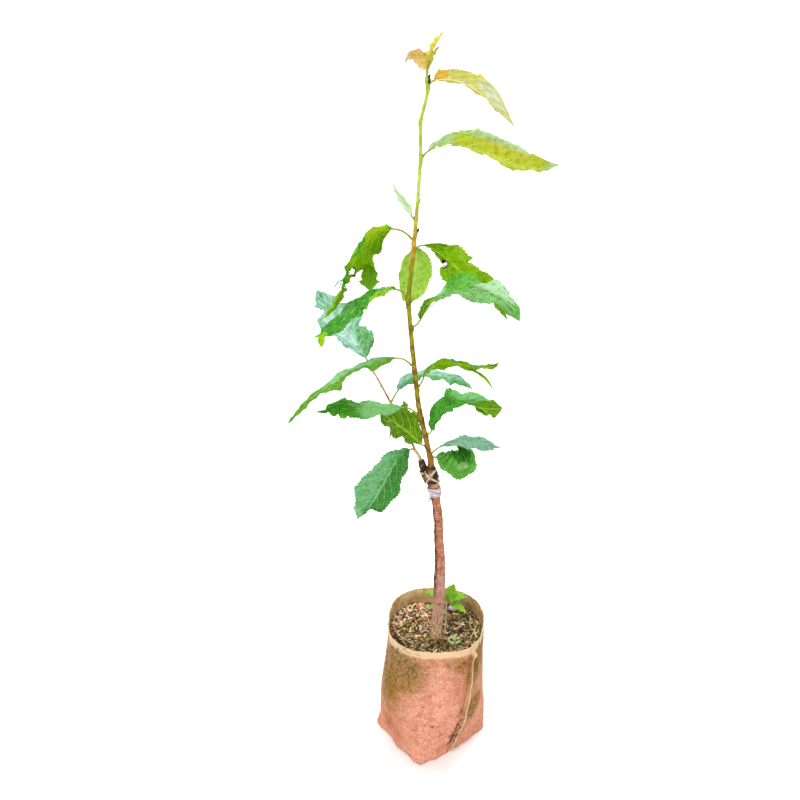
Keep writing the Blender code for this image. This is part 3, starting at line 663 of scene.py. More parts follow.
def on_soil(rng, count, spread=1.0):
    """Random places inside the bag, off the trunk."""
    found = []
    while len(found) < count:
        turn, reach = rng.uniform(0, FULL_TURN), math.sqrt(rng.uniform(0.0, 1.0)) * spread
        x, y, _ = bag_inside(turn) * reach
        if math.hypot(x - TRUNK_FOOT[0], y - TRUNK_FOOT[1]) > TRUNK_CLEARANCE:
            found.append((x, y))
    return np.array(found)


def make_soil():
    rng = np.random.default_rng(7)
    soil = Build("soil", [
        soil_material(),
        plain("chip_red", (216, 150, 124), (160, 88, 66), 400),
        plain("chip_tan", (246, 228, 190), (204, 166, 120), 400),
        plain("chip_dark", (60, 42, 30), (34, 24, 18), 500),
        plain("grit_white", (238, 232, 224), (206, 196, 184), 600),
        plain("moss", (150, 146, 38), (104, 108, 22), 500, 0.9),
        plain("dry_stalk", (222, 204, 160), (180, 150, 104), 400, 0.8),
        plain("stone_lilac", (205, 190, 196), (168, 150, 160), 260, 0.7),
        plain("weed_leaf", (184, 206, 140), (142, 176, 100), 400, 0.6),
    ])
    turn = np.linspace(0, FULL_TURN, SOIL_COLUMNS, endpoint=False)[None, :]
    rim = cloth_surface(turn, np.full_like(turn, SOIL_LEVEL), -BAG_WALL - 0.0002)
    share = np.linspace(0.04, 1, SOIL_ROWS)[:, None]
    x, y = (mix(TRUNK_FOOT[axis], rim[..., axis], share) for axis in range(2))
    top = np.stack([x, y, soil_ground(x, y)], -1)
    soil.grid(top, 0, closed=True)
    skirt = top[-1][None].repeat(2, 0)
    skirt[1, :, :2] *= 0.90
    skirt[1, :, 2] -= 0.010
    soil.grid(skirt, 0, closed=True)

    def drop(x, y, size, kind):
        place = (x, y, ground_at(x, y) + size[2] * 0.25)
        rough_lump(soil, place, size, rng.uniform(0, 6.3), kind, rng)

    for x, y in on_soil(rng, CHIP_COUNT):
        long = rng.uniform(0.0018, 0.0066)
        kind = rng.choice(CHIP_KINDS)
        if kind != DARK_CHIP and (x > 0.016 or y < -0.020) and rng.random() < 0.45:
            kind = DARK_CHIP
        drop(x, y, (long, long * rng.uniform(0.35, 0.7), long * rng.uniform(0.2, 0.4)), kind)
    for middle_x, middle_y, reach in CHIP_HEAPS:
        for _ in range(CHIPS_IN_A_HEAP):
            x, y = middle_x + rng.normal(0, reach / 2), middle_y + rng.normal(0, reach / 2)
            edge = bag_inside(math.atan2(y, x))
            pull = min(1.0, math.hypot(edge[0], edge[1]) / math.hypot(x, y))
            long = rng.uniform(0.003, 0.0075)
            drop(x * pull, y * pull, (long, long * 0.5, long * 0.25), rng.choice(HEAP_KINDS))
    for x, y in on_soil(rng, GRIT_COUNT):
        long = rng.uniform(0.0010, 0.0026)
        drop(x, y, (long, long * 0.8, long * 0.7), GRIT)
    for x, y in LARGE_GRIT:
        drop(x * 0.95, y, (0.0035, 0.0028, 0.0018), GRIT)
    rough_lump(soil, (0.0232, 0.0435, 0.1655), (0.0135, 0.010, 0.010), 0.4, LILAC_STONE, rng, 9)
    add_moss(soil, rng)
    add_stalks(soil, rng)
    add_weed(soil)
    soil.finish("root_ball")


def add_moss(soil, rng):
    """Tufts of short leafy threads."""
    for middle_x, middle_y, reach in MOSS_HEAPS:
        count = int(reach * MOSS_PER_METRE)
        x = middle_x + rng.normal(0, reach / 2.2, count)
        y = middle_y + rng.normal(0, reach / 2.2, count)
        kept = np.hypot(x, y) < RIM_RADIUS - 0.005
        x, y = x[kept], y[kept]
        turn = rng.uniform(0, 6.3, len(x))
        lean = rng.uniform(0.0001, 0.0007, len(x))
        tall = rng.uniform(0.0008, 0.0024, len(x))
        foot = np.stack([x, y, soil_ground(x, y) - 0.0002], -1)
        side = np.stack([np.cos(turn), np.sin(turn), 0 * turn], -1) * MOSS_HALF_WIDTH
        tip = foot + np.stack([-np.sin(turn) * lean, np.cos(turn) * lean, tall], -1)
        back = foot + np.stack([-np.sin(turn), np.cos(turn), 0 * turn], -1) * MOSS_HALF_WIDTH
        first = 4 * np.arange(len(x))[:, None]
        faces = np.concatenate([first + [0, 1, 3], first + [1, 2, 3], first + [2, 0, 3]])
        soil.add(np.stack([foot - side, foot + side, back, tip], 1), faces, MOSS)


def add_stalks(soil, rng):
    """Dry stalks lying on the soil."""
    stalks = list(LONG_STALKS)
    for x, y in on_soil(rng, STALK_COUNT, 0.9):
        turn, long = rng.uniform(0, 6.3), rng.uniform(0.006, 0.016)
        end = (x + long * math.cos(turn), y + long * math.sin(turn))
        if math.hypot(*end) < RIM_RADIUS - 0.006:
            stalks.append(((x, y), end, rng.uniform(0.0002, 0.0004)))
    for (x1, y1), (x2, y2), radius in stalks:
        share = np.linspace(0, 1, 7)
        x = mix(x1, x2, share) + rng.normal(0, 0.0003, 7)
        y = mix(y1, y2, share) + rng.normal(0, 0.0003, 7)
        ground = soil_ground(x, y)
        z = ground.max() * 0.4 + ground * 0.6 + radius + rng.uniform(0, 0.0015)
        add_tube(soil, np.stack([x, y, z], -1), np.full(7, radius), STALK, 6)


def add_weed(soil):
    """A seedling with small toothed leaves."""
    x, y = WEED_PLACE
    z = ground_at(x, y)
    stem = [(x, y, z - 0.001), (x + 0.0005, y, z + 0.008), (x + 0.0003, y + 0.001, z + 0.016)]
    add_tube(soil, stem, np.array([0.0006, 0.0005, 0.0004]), STALK, 8)
    for level, bearing, length in WEED_LEAVES:
        leaf = Leaf((x, y, z + level), bearing, 0.002, (60, 45, 25, 0), length, length * 0.50, fold=12)
        look = dict(teeth=5, depth=0.12, columns=4, veins=4)
        add_leaf(soil, leaf, look, (WEED, WEED, WEED), 0.00022, 0.0003, keep_values=False)


# ---------------------------------------------------------------- stems

# Routes from foot to tip: x, y, height, radius
ROOTSTOCK = (
    (*TRUNK_FOOT, SOIL_LEVEL + GAP, 0.0084), (*TRUNK_FOOT, 0.166, 0.0078),
    (0.0013, -0.014, 0.178, 0.0076), (0.0028, -0.014, 0.205, 0.0075), (0.0034, -0.014, 0.250, 0.0073),
    (0.0031, -0.014, 0.280, 0.0065), (0.0016, -0.014, 0.305, 0.0059), (0.0000, -0.014, 0.338, 0.0057),
    (-0.0036, -0.014, 0.363, 0.0058), (-0.0062, -0.014, 0.380, 0.0070), (-0.0088, -0.013, 0.392, 0.0080),
    (-0.0100, -0.012, 0.3985, 0.0074), (-0.0100, -0.012, 0.4030, 0.0058),
)
GRAFT_SHOULDER = (
    (-0.0120, -0.011, 0.384, 0.0058), (-0.0178, -0.0085, 0.398, 0.0054), (-0.0222, -0.0068, 0.4095, 0.0038),
)
LEADER = (
    (-0.0100, -0.012, 0.4033, 0.0042), (-0.0100, -0.012, 0.4073, 0.0037), (-0.0120, -0.012, 0.419, 0.0031),
    (-0.0163, -0.012, 0.439, 0.0030), (-0.0250, -0.012, 0.479, 0.0028), (-0.0300, -0.012, 0.522, 0.0026),
    (-0.0340, -0.012, 0.560, 0.0025), (-0.0370, -0.012, 0.600, 0.0024), (-0.0325, -0.012, 0.650, 0.0023),
    (-0.0285, -0.012, 0.700, 0.0019), (-0.0260, -0.012, 0.742, 0.0018), (-0.0258, -0.012, 0.776, 0.0018),
    (-0.0200, -0.012, 0.803, 0.0016), (-0.0206, -0.012, 0.816, 0.0015),
)
SIDE_SHOOT = (
    (-0.02235, -0.0068, 0.4099, 0.0020), (-0.0238, -0.0063, 0.4136, 0.0018), (-0.0297, 0.002, 0.4195, 0.0016),
    (-0.0335, 0.008, 0.4255, 0.0015), (-0.0450, 0.018, 0.4428, 0.0014), (-0.0614, 0.030, 0.4693, 0.0014),
    (-0.0807, 0.039, 0.5015, 0.0013), (-0.0908, 0.044, 0.5176, 0.0012),
)
TIP_SHOOT = (
    (-0.0206, -0.012, 0.8165, 0.0014), (-0.0200, -0.012, 0.826, 0.0012), (-0.0188, -0.012, 0.834, 0.0009),
)
BASAL_SHOOT = (
    (0.0112, -0.0105, SOIL_LEVEL + GAP, 0.0010), (0.0112, -0.0105, 0.165, 0.0010),
    (0.0125, -0.0040, 0.180, 0.0009), (0.0130, 0.0030, 0.203, 0.0008),
)
TAPE_HEIGHTS = (0.3665, 0.3800)
FILM_TURNS = 4.4
FILM_STEPS = 260
FILM_SECOND_STEPS = 150
STRIP_STEPS = 40
FILM_THICKNESS = 0.0003
STEM_STEP = 0.0009
STOCK_STEP = 0.0007
SMALL_STEM_STEP = 0.0008

# Knots in the rootstock's bark: height, bearing, reach
STOCK_KNOTS = ((0.252, 192, 0.0056), (0.284, -66, 0.0040), (0.220, -80, 0.0036), (0.318, 150, 0.0034),
               (0.345, -60, 0.0030), (0.197, -20, 0.0036), (0.300, 250, 0.0034), (0.3600, -100, 0.0026),
               (0.2700, -115, 0.0028))
# Cracks across the bark: height, bearing, reach round it in radians
STOCK_CRACKS = ((0.2865, -75, 0.9), (0.2190, -95, 1.2), (0.2490, -140, 0.7), (0.3360, -100, 0.6),
                (0.2010, -60, 0.8))
# Strips over the graft: start height, end height, start bearing, end bearing, width
FILM_STRIPS = ((0.3835, 0.4005, -165, -60, 0.0042), (0.3990, 0.3860, -150, -25, 0.0038),
               (0.3850, 0.3900, -60, 30, 0.0036), (0.3940, 0.4030, -130, -20, 0.0030),
               (0.3900, 0.3960, 30, 200, 0.0040))
# Buds over the leaf scars on the leader: height, bearing, length
LEADER_BUDS = ((0.8123, 200, 0.0030), (0.7752, 195, 0.0036), (0.7431, -10, 0.0036), (0.7003, -20, 0.0044),
               (0.6700, 4, 0.0060), (0.6337, 185, 0.0032), (0.6008, 170, 0.0034), (0.5692, 10, 0.0032),
               (0.5450, 190, 0.0030), (0.4800, 200, 0.0030), (0.4640, 15, 0.0030), (0.8030, 0, 0.0026),
               (0.8085, -25, 0.0062), (0.8130, -8, 0.0056))
DARK_BUDS = (0.6700, 0.8085, 0.8130)


def stem_curve(route, length_step):
    """(points, radii) along a smooth curve through a stem's route."""
    knots = np.array(route, float)
    lengths = np.concatenate([[0], np.cumsum(np.linalg.norm(np.diff(knots[:, :3], axis=0), axis=1))])
    tangents = np.gradient(knots, lengths, axis=0)
    samples = []
    for start in range(len(knots) - 1):
        span = lengths[start + 1] - lengths[start]
        steps = max(1, round(span / length_step))
        for step in range(steps):
            t = step / steps
            h1, h2 = 2 * t**3 - 3 * t**2 + 1, t**3 - 2 * t**2 + t
            h3, h4 = -2 * t**3 + 3 * t**2, t**3 - t**2
            samples.append(h1 * knots[start] + h2 * span * tangents[start]
                           + h3 * knots[start + 1] + h4 * span * tangents[start + 1])
    samples = np.array(samples + [knots[-1]])
    return samples[:, :3], samples[:, 3]


def at_heights(heights, points, values):
    """Values along a stem, taken at heights."""
    return np.stack([np.interp(heights, points[:, 2], column) for column in values.T], -1)


def point_on(route, height):
    """(middle, radius, direction) of a stem at a height."""
    points, radii = stem_curve(route, 0.004)
    below, middle, above = at_heights(height + np.array((-0.004, 0, 0.004)), points, points)
    way = above - below
    radius = float(np.interp(height, points[:, 2], radii))
    return np.array((*middle[:2], height)), radius, way / np.linalg.norm(way)


def bark_place(stem, height, bearing, drop=0.0):
    """A place on the outside of a stem, dropped by so much, and the stem's radius there."""
    middle, radius, _ = point_on(stem, height)
    return middle + radius * heading(bearing, 0) - np.array((0, 0, drop)), radius


def ring_frames(points):
    """A pair of unit vectors across the path at each of its points, without twist."""
    ways = unit(np.gradient(points, axis=0))
    first = np.cross(ways[0], (0, 1, 0) if abs(ways[0][1]) < 0.9 else (1, 0, 0))
    sides = [first / np.linalg.norm(first)]
    for way in ways[1:]:
        side = sides[-1] - way * (sides[-1] @ way)
        sides.append(side / np.linalg.norm(side))
    return np.array(sides), np.cross(ways, sides)


def tube_grid(points, radii, sides):
    """Rings of points round a path, and the way out at each."""
    across, forth = ring_frames(points)
    turn = (FULL_TURN * np.arange(sides) / sides)[None, :, None]
    out = across[:, None] * np.cos(turn) + forth[:, None] * np.sin(turn)
    return points[:, None] + out * np.asarray(radii)[:, None, None], out


def add_tube(build, points, radii, kind, sides, relief=None):
    """A closed tube; relief gives how far each of its points is moved outward."""
    points = np.asarray(points, float)
    grid, out = tube_grid(points, radii, sides)
    if relief:
        grid = grid + out * relief(grid)[..., None]
    ways = unit(np.gradient(points, axis=0))
    first = np.tile(points[0] - ways[0] * radii[0] * 0.3, (1, sides, 1))
    last = np.tile(points[-1] + ways[-1] * radii[-1] * 0.3, (1, sides, 1))
    build.grid(np.concatenate([first, grid, last]), kind, closed=True, flip=True)


def add_bud(build, stem, height, bearing, length, width, kind, inset=0.8, lean=0.6, rise=0, lift=0.0):
    """A pointed bud on the side of a stem, which leans out from the stem's own way."""
    middle, radius, way = point_on(stem, height)
    side = heading(bearing, rise)
    foot = middle + side * radius * inset + way * lift
    way = unit(way + side * lean)
    share = np.linspace(0, 1, 9)
    profile = np.maximum(np.sin(math.pi * np.minimum(1, share * 0.62 + 0.30)) ** 1.1 * (1 - share**3.0), 0.02)
    add_tube(build, foot + way * (share * length)[:, None], profile * width / 2, kind, 10)


def add_limb(build, route, step, sides, relief, marks):
    """A bark tube along a route, with values at its points from marks."""
    points, radii = stem_curve(route, step)
    grid, out = tube_grid(points, radii, sides)
    grid = grid + out * relief(grid)[..., None]
    values = {name: rule(grid).ravel() for name, rule in marks.items()}
    build.grid(grid, 0, closed=True, flip=True, **values)
    for end, order in ((0, 1), (-1, -1)):
        cap = np.concatenate([grid[end], grid[end].mean(0)[None]])
        faces = [(side, sides, (side + 1) % sides)[::-order] for side in range(sides)]
        build.add(cap, faces, 0, **{name: np.repeat(value[end], len(cap)) for name, value in values.items()})


def bark_stock_material():
    bark = Shader("rootstock_bark", 0.85, 0.25)
    fibre = bark.noise(900, 4, (1, 1, 0.16), 0.6)
    rings = bark.noise(620, 3, (0.25, 0.25, 1))
    height = bark.split(bark.place, 2)
    bark.colour = bark.mix(bark.span(bark.noise(330, 4), 0.40, 0.60), (232, 202, 164), (172, 140, 104))
    bark.layers((fibre, 0.52, 0.64, 0.7, 104, 84, 58))
    pale_foot = bark.colour
    bark.colour = bark.mix(bark.span(bark.noise(95, 4), 0.38, 0.62), (200, 126, 92), (166, 102, 74))
    bark.layers(
        (bark.noise(48), 0.54, 0.68, 0.55, 184, 156, 130), (fibre, 0.50, 0.64, 0.8, 92, 54, 40),
        (rings, 0.57, 0.66, 0.75, 214, 168, 146), (rings, 0.40, 0.33, 0.6, 104, 66, 54),
        (height, 0.290, 0.235, 0.35, 186, 146, 138),
    )
    bark.lay(bark.span(height, 0.225, 0.172, 0, 0.9), pale_foot)
    # Knots and cracks, and the painted shade along the left side, in one dark colour.
    bark.lay(bark.own("knot"), (56, 34, 26))
    bark.lay(bark.own("resin"), (52, 34, 22))
    return bark.done(bark.math("ADD", fibre, rings), 0.6, 0.0006, fibre, 0.92, 0.74)


def stock_relief(grid):
    """Long fibres, cross wrinkles and knots in the rootstock's bark, and the rough graft."""
    fibres = 0.00022 * noise_at(grid, 420, 2.0, (1, 1, 0.15))
    wrinkles = 0.00028 * noise_at(grid, 420, 6.0, (0.25, 0.25, 1))
    relief = fibres + wrinkles + 0.00045 * noise_at(grid, 75, 4.0) - 0.0002
    for height, bearing, reach in STOCK_KNOTS:
        away = np.linalg.norm(grid - bark_place(ROOTSTOCK, height, bearing)[0], axis=-1) / reach
        relief = relief + 0.0011 * hump(away) - 0.0009 * hump(away / 0.35)
    return relief + 0.0007 * noise_at(grid, 170, 5.0) * smooth_step((grid[..., 2] - 0.383) / 0.004)


def around_stem(grid):
    """The bearing of every point of a stem from its middle line."""
    out = grid - grid.mean(1, keepdims=True)
    return np.arctan2(out[..., 1], out[..., 0])


def shaded_side(grid):
    """How dark a stem is along its left side: painted shade, with dark specks of old bark in it."""
    off = wrapped(around_stem(grid) - math.radians(208)) / 0.60
    ragged = 0.85 + 1.3 * noise_at(grid, 300, 14.0, (1, 1, 0.6))
    return np.clip(ragged * np.exp(-(off**4)), 0, 0.9)


def knot_and_shade_values(grid):
    """Dark knots and cracks, and the painted shade along the rootstock's left side."""
    values = np.zeros(grid.shape[:-1])
    for height, bearing, reach in STOCK_KNOTS:
        away = np.linalg.norm(grid - bark_place(ROOTSTOCK, height, bearing)[0], axis=-1) / reach
        values = np.maximum(values, 0.75 * hump(away / 0.45))
    turn = around_stem(grid)
    for height, bearing, reach in STOCK_CRACKS:
        off = (grid[..., 2] - height - 0.0007 * np.sin(3 * turn + 50 * height)) / 0.0006
        off_round = wrapped(turn - math.radians(bearing)) / reach
        values = np.maximum(values, 0.85 * np.exp(-(off**2) - off_round**2))
    # Painted shade along the left side, above 0.20 m.
    return np.maximum(values, shaded_side(grid) * smooth_step((grid[..., 2] - 0.20) / 0.06))


def resin_values(grid):
    """Dark resin and dead bark round the graft."""
    ragged = noise_at(grid, 260, 3.0) * 0.8 + noise_at(grid, 90, 6.0) * 0.9
    return np.clip(smooth_step((grid[..., 2] - 0.3835) / 0.004) * (0.72 + ragged), 0, 1)


def make_rootstock():
    stock = Build("stock_bark", [bark_stock_material()])
    marks = {"knot": knot_and_shade_values, "resin": resin_values}
    add_limb(stock, ROOTSTOCK, STOCK_STEP, 64, stock_relief, marks)
    add_limb(stock, GRAFT_SHOULDER, STOCK_STEP, 48, stock_relief, marks)
    stock.finish("rootstock")


def film_material():
    film = Shader("graft_film", 0.45, 0.5)
    shade = film.noise(160)
    # turns: painted shade in the gaps between the film's turns, also part of the bump.
    turns = film.noise(560, 2, (0.15, 0.15, 1))
    film.colour = film.mix(film.span(shade, 0.38, 0.62), (226, 216, 226), (188, 174, 188))
    film.layers((film.noise(420), 0.56, 0.66, 0.7, 140, 104, 84), (turns, 0.50, 0.42, 0.85, 120, 90, 90))
    relief = film.math("ADD", film.noise(700, 3, (1, 1, 3)), turns)
    return film.done(relief, 0.7, 0.0007, shade, 0.55, 0.38)


def cream_material():
    film = Shader("strip_cream", 0.6, 0.4)
    shade = film.noise(240)
    film.colour = film.mix(film.span(shade, 0.38, 0.62), (222, 206, 184), (176, 150, 128))
    film.layers((film.noise(600), 0.56, 0.68, 0.6, 110, 80, 56))
    return film.done(film.noise(800), 0.5, 0.0004, shade, 0.7, 0.5)


def stock_reach(heights, way):
    """The rootstock's middle, and how far it reaches from there along way with its graft shoulder."""
    points, radii = stem_curve(ROOTSTOCK, 0.001)
    middle = at_heights(heights, points, points[:, :2])
    reach = np.interp(heights, points[:, 2], radii)
    side, side_radii = stem_curve(GRAFT_SHOULDER, 0.001)
    other = at_heights(heights, side, side[:, :2]) - middle
    other_radius = np.interp(heights, side[:, 2], side_radii, left=0.0)
    along = (other * way[..., :2]).sum(-1)
    off = np.linalg.norm(other, axis=-1) ** 2 - along**2
    far = np.where(other_radius**2 > off, along + np.sqrt(np.maximum(other_radius**2 - off, 0)), 0)
    return np.concatenate([middle, heights[..., None]], -1), np.maximum(reach, far)


def add_ribbon(build, heights, turns, width, lift, kind, wrinkle, seed):
    """A band of film lying on the stock along heights and bearings, of that width."""
    across = np.linspace(-0.5, 0.5, 9)[None, :]
    level = heights[:, None] + across * width
    turn = np.broadcast_to(turns[:, None], level.shape)
    way = np.stack([np.cos(turn), np.sin(turn), 0 * turn], -1)
    middle, reach = stock_reach(level, way)
    wrinkles = wrinkle * noise_at(middle + way * reach[..., None], 500, seed)
    bulge = wrinkles + 0.00025 * np.cos(math.pi * across)
    outer = middle + way * (reach + lift + bulge)[..., None]
    inner = outer - way * FILM_THICKNESS
    forward = turns[-1] > turns[0]
    for sheet, flip in (
        (outer, not forward),
        (inner, forward),
        (np.stack([outer[:, -1], inner[:, -1]], 1), not forward),
        (np.stack([outer[:, 0], inner[:, 0]], 1), forward),
        (np.stack([outer[-1], inner[-1]]), forward),
        (np.stack([outer[0], inner[0]]), not forward),
    ):
        build.grid(sheet, kind, flip=flip)


def make_film():
    """The film's tilted turns under the graft, with a torn end, and its strips across the graft."""
    film = Build("film", [film_material(), cream_material()])
    low, high = TAPE_HEIGHTS
    turns = np.linspace(0, FULL_TURN * FILM_TURNS, FILM_STEPS)
    climb = np.linspace(low + 0.0028, high - 0.0030, FILM_STEPS)
    tilt = 0.0011 * np.sin(turns + 0.6)
    lift = 0.0010 + 0.00035 * np.sin(turns * 0.5).mean()
    add_ribbon(film, climb + tilt, turns - 2.0, 0.0042, lift, 0, 0.0004, 3.0)
    second = slice(FILM_SECOND_STEPS)
    add_ribbon(film, climb[::-1][second] - tilt[second], -turns[second] - 1.0, 0.0030, 0.0014, 0, 0.0005, 8.0)
    for number, (start, end, first, last, width) in enumerate(FILM_STRIPS):
        level = np.linspace(start, end, STRIP_STEPS)
        turn = np.radians(np.linspace(first, last, STRIP_STEPS))
        add_ribbon(film, level, turn, width * 0.62, 0.0007 + 0.0002 * number, 1, 0.0003, number)
    torn = np.linspace(0, 1, 8)
    ends = np.stack([-0.0085 - 0.0034 * torn, -0.0185 - 0.0010 * torn, 0.3705 - 0.0085 * torn], -1)
    add_tube(film, ends, 0.0021 * (1 - 0.6 * torn), 0, 8)
    film.finish("graft_tape")


def leader_material():
    bark = Shader("leader_bark", 0.6, 0.2)
    level = bark.span(bark.split(bark.place, 2), 0.40, 0.83, kind="LINEAR")
    first = bark.ramp(level, [
        (0.00, 150, 88, 30), (0.12, 156, 124, 4), (0.34, 162, 140, 0), (0.51, 172, 166, 10),
        (0.60, 204, 160, 48), (0.70, 194, 208, 96), (0.84, 184, 200, 80), (1.00, 170, 188, 50)])
    second = bark.ramp(level, [
        (0.00, 90, 48, 20), (0.12, 104, 78, 2), (0.34, 102, 92, 0), (0.51, 126, 134, 6),
        (0.60, 176, 124, 30), (0.72, 162, 186, 66), (1.00, 140, 170, 40)])
    streak = bark.noise(520, 4, (1, 1, 0.2), 0.5)
    bark.colour = bark.mix(bark.span(bark.noise(130), 0.42, 0.60), first, second)
    bark.layers((streak, 0.55, 0.70, 0.45, 96, 66, 38))
    sparse = bark.span(bark.noise(260, 2), 0.54, 0.62, 0, 0.75)
    bark.lay(bark.times(bark.span(bark.cells(900), 0.10, 0.20, 1, 0), sparse), (228, 208, 170))
    # Leaf scars and specks, and painted shade along the left side of the lower leader.
    bark.lay(bark.own("scar"), (52, 32, 20))
    return bark.done(bark.math("ADD", streak, bark.noise(1600, 2)), 0.45, 0.0004, streak, 0.68, 0.5)


def shoot_material():
    bark = Shader("shoot_bark", 0.6, 0.35)
    streak = bark.noise(600, 4, (1, 1, 0.3))
    bark.colour = bark.mix(bark.span(bark.noise(150), 0.4, 0.62), (214, 168, 128), (170, 118, 84))
    bark.layers((streak, 0.55, 0.7, 0.5, 120, 80, 56))
    return bark.done(streak, 0.4, 0.0004, streak, 0.68, 0.5)


def nodes_on(stem):
    """(height, bearing) of every leaf on a stem."""
    return [(height, bearing) for other, height, bearing, *_ in LEAVES.values() if other is stem and height]


def swollen(stem, buds=()):
    """A relief that swells the stem under each of its leaves and buds."""
    marks = [(*node, 0.0009) for node in nodes_on(stem)] + [(*bud[:2], 0.0006) for bud in buds]

    def relief(grid):
        fine = 0.00008 * noise_at(grid, 900, 2.0, (1, 1, 0.2)) + 0.00012 * noise_at(grid, 260, 4.0)
        for height, bearing, lift in marks:
            place, radius = bark_place(stem, height, bearing, 0.0008)
            away = (grid - place) / np.array((radius * 1.1, radius * 1.1, 0.0030))
            fine = fine + lift * np.exp(-(away**2).sum(-1))
        return fine

    return relief


def leader_scars_and_shade(grid):
    """Dark leaf scars and specks, and painted shade along the lower leader's left side."""
    values = np.clip((noise_at(grid, 420, 12.0) - 0.55) * 4, 0, 0.8) * (grid[..., 2] < 0.70)
    for height, bearing, _ in LEADER_BUDS:
        away = np.linalg.norm(grid - bark_place(LEADER, height, bearing, 0.0012)[0], axis=-1)
        values = np.maximum(values, 0.7 * hump(away / 0.0011))
    # Painted shade along the left side, fading out towards 0.66 m.
    return np.maximum(values, 0.75 * shaded_side(grid) * smooth_step((0.66 - grid[..., 2]) / 0.12))


def make_leader():
    leader = Build("leader_stem", [
        leader_material(),
        plain("bud_brown", (150, 96, 50), (110, 66, 36), 700, 0.6),
        plain("bud_dark", (66, 40, 26), (36, 24, 18), 700, 0.7),
        plain("bud_green", (176, 160, 66), (196, 120, 60), 500, 0.5),
    ])
    brown, dark, green = 1, 2, 3
    add_limb(leader, LEADER, STEM_STEP, 32, swollen(LEADER, LEADER_BUDS), {"scar": leader_scars_and_shade})
    for height, bearing, length in LEADER_BUDS:
        kind = dark if height in DARK_BUDS else green if height > 0.69 else brown
        add_bud(leader, LEADER, height, bearing, length, length * 0.55, kind, inset=0.7, lean=0.55)
    for height, bearing in nodes_on(LEADER):
        kind = green if height > 0.70 else brown
        add_bud(leader, LEADER, height, bearing, 0.0030, 0.0017, kind, lift=0.0022)
    leader.finish("leader")


def make_side_shoot():
    bud = plain("shoot_bud", (156, 104, 70), (110, 70, 46), 700, 0.6)
    shoot = Build("shoot_stem", [shoot_material(), bud])
    add_limb(shoot, SIDE_SHOOT, STEM_STEP, 24, swollen(SIDE_SHOOT), {})
    for height, bearing in ((0.5012, 190), (0.4600, 20), (0.4860, 200), (0.4440, 190)):
        add_bud(shoot, SIDE_SHOOT, height, bearing, 0.0032, 0.0017, 1, inset=0.6, rise=10)
    shoot.finish("side_shoot")


# ---------------------------------------------------------------- leaves

BLADE_BASE_FULLNESS = 0.62
BLADE_TIP_FULLNESS = 0.95
NARROWEST_HALF_BLADE = 0.0004
PETIOLE_RADIUS = 0.0009
PETIOLE_STEPS = 5
FINE_PETIOLE_STEPS = 14
BLADE_THICKNESS = 0.00042
SMALL_BLADE_THICKNESS = 0.00030
TOOTH_LENGTH = 0.0039
ROWS_PER_TOOTH = 5
# How far the blade rises between its veins and in its puckers, for half its width
QUILT = 0.085
PUCKER = 0.080
WAVES_ALONG = 3.5


def heading(bearing, pitch):
    """Unit vectors along bearings and pitches in degrees."""
    turn, rise = np.radians(bearing), np.radians(pitch)
    return np.stack([np.cos(turn) * np.cos(rise), np.sin(turn) * np.cos(rise), np.sin(rise)], -1)


def leaf_foot(stem, height, bearing, pitch):
    """Where a petiole starts, clear of its stem's side, or of the stem's tip with no height."""
    way = heading(bearing, pitch)
    if height is None:
        points, _ = stem_curve(stem, 0.010)
        direction = points[-1] - points[-2]
        along = float(way @ direction) / np.linalg.norm(direction)
        return points[-1] + way * (GAP + PETIOLE_RADIUS * math.sqrt(1 - along**2)) / along
    middle, radius, direction = point_on(stem, height)
    along = abs(float(way @ direction))
    return middle + way * (radius + GAP + PETIOLE_RADIUS * along) / math.sqrt(1 - along**2)


class Leaf:
    """The path of one leaf's petiole and midrib, and how wide its blade is."""

    def __init__(self, foot, bearing, petiole, pitches, length, width,
                 sweep=0, roll=(0, 0), fold=10, curl=0, nibbles=()):
        self.foot = np.asarray(foot, float)
        self.bearing = bearing
        self.petiole = petiole
        self.pitches = pitches
        self.length = length
        self.half_width = width / 2
        self.sweep = sweep
        self.roll = roll
        self.fold = fold
        self.curl = curl
        self.nibbles = nibbles

    def petiole_points(self, steps=PETIOLE_STEPS):
        points = [self.foot]
        for step in range(steps):
            pitch = mix(self.pitches[0], self.pitches[1], (step + 0.5) / steps)
            points.append(points[-1] + heading(self.bearing, pitch) * self.petiole / steps)
        return np.array(points)

    def pitch_at(self, share):
        _, base, middle, tip = self.pitches
        bend = 2 * (base - 2 * middle + tip)
        return base + (tip - base - bend) * share + bend * share * share

    def midrib(self, steps):
        points = [self.petiole_points()[-1]]
        for step in range(steps):
            share = (step + 0.5) / steps
            way = heading(self.bearing + self.sweep * share, self.pitch_at(share))
            points.append(points[-1] + way * self.length / steps)
        return np.array(points)

    def width_at(self, share, side):
        """Half the blade's width, with soft ends to where it is eaten and to its lobes."""
        top = BLADE_BASE_FULLNESS / (BLADE_BASE_FULLNESS + BLADE_TIP_FULLNESS)
        peak = top**BLADE_BASE_FULLNESS * (1 - top) ** BLADE_TIP_FULLNESS
        width = self.half_width * share**BLADE_BASE_FULLNESS * (1 - share) ** BLADE_TIP_FULLNESS / peak
        for nibbled_side, start, end, kept in self.nibbles:
            if side != nibbled_side:
                continue
            ramp = 0.025 if kept < 1 else 0.10
            inside = smooth_step((share - start + ramp) / (2 * ramp))
            if end < 1:
                inside = inside * (1 - smooth_step((share - end - ramp) / (2 * ramp)))
            width = width * (1 - (1 - kept) * inside)
        return np.maximum(width, NARROWEST_HALF_BLADE)


def window(value, start, end, soft):
    return smooth_step((value - start) / soft + 0.5) * (1 - smooth_step((value - end) / soft + 0.5))


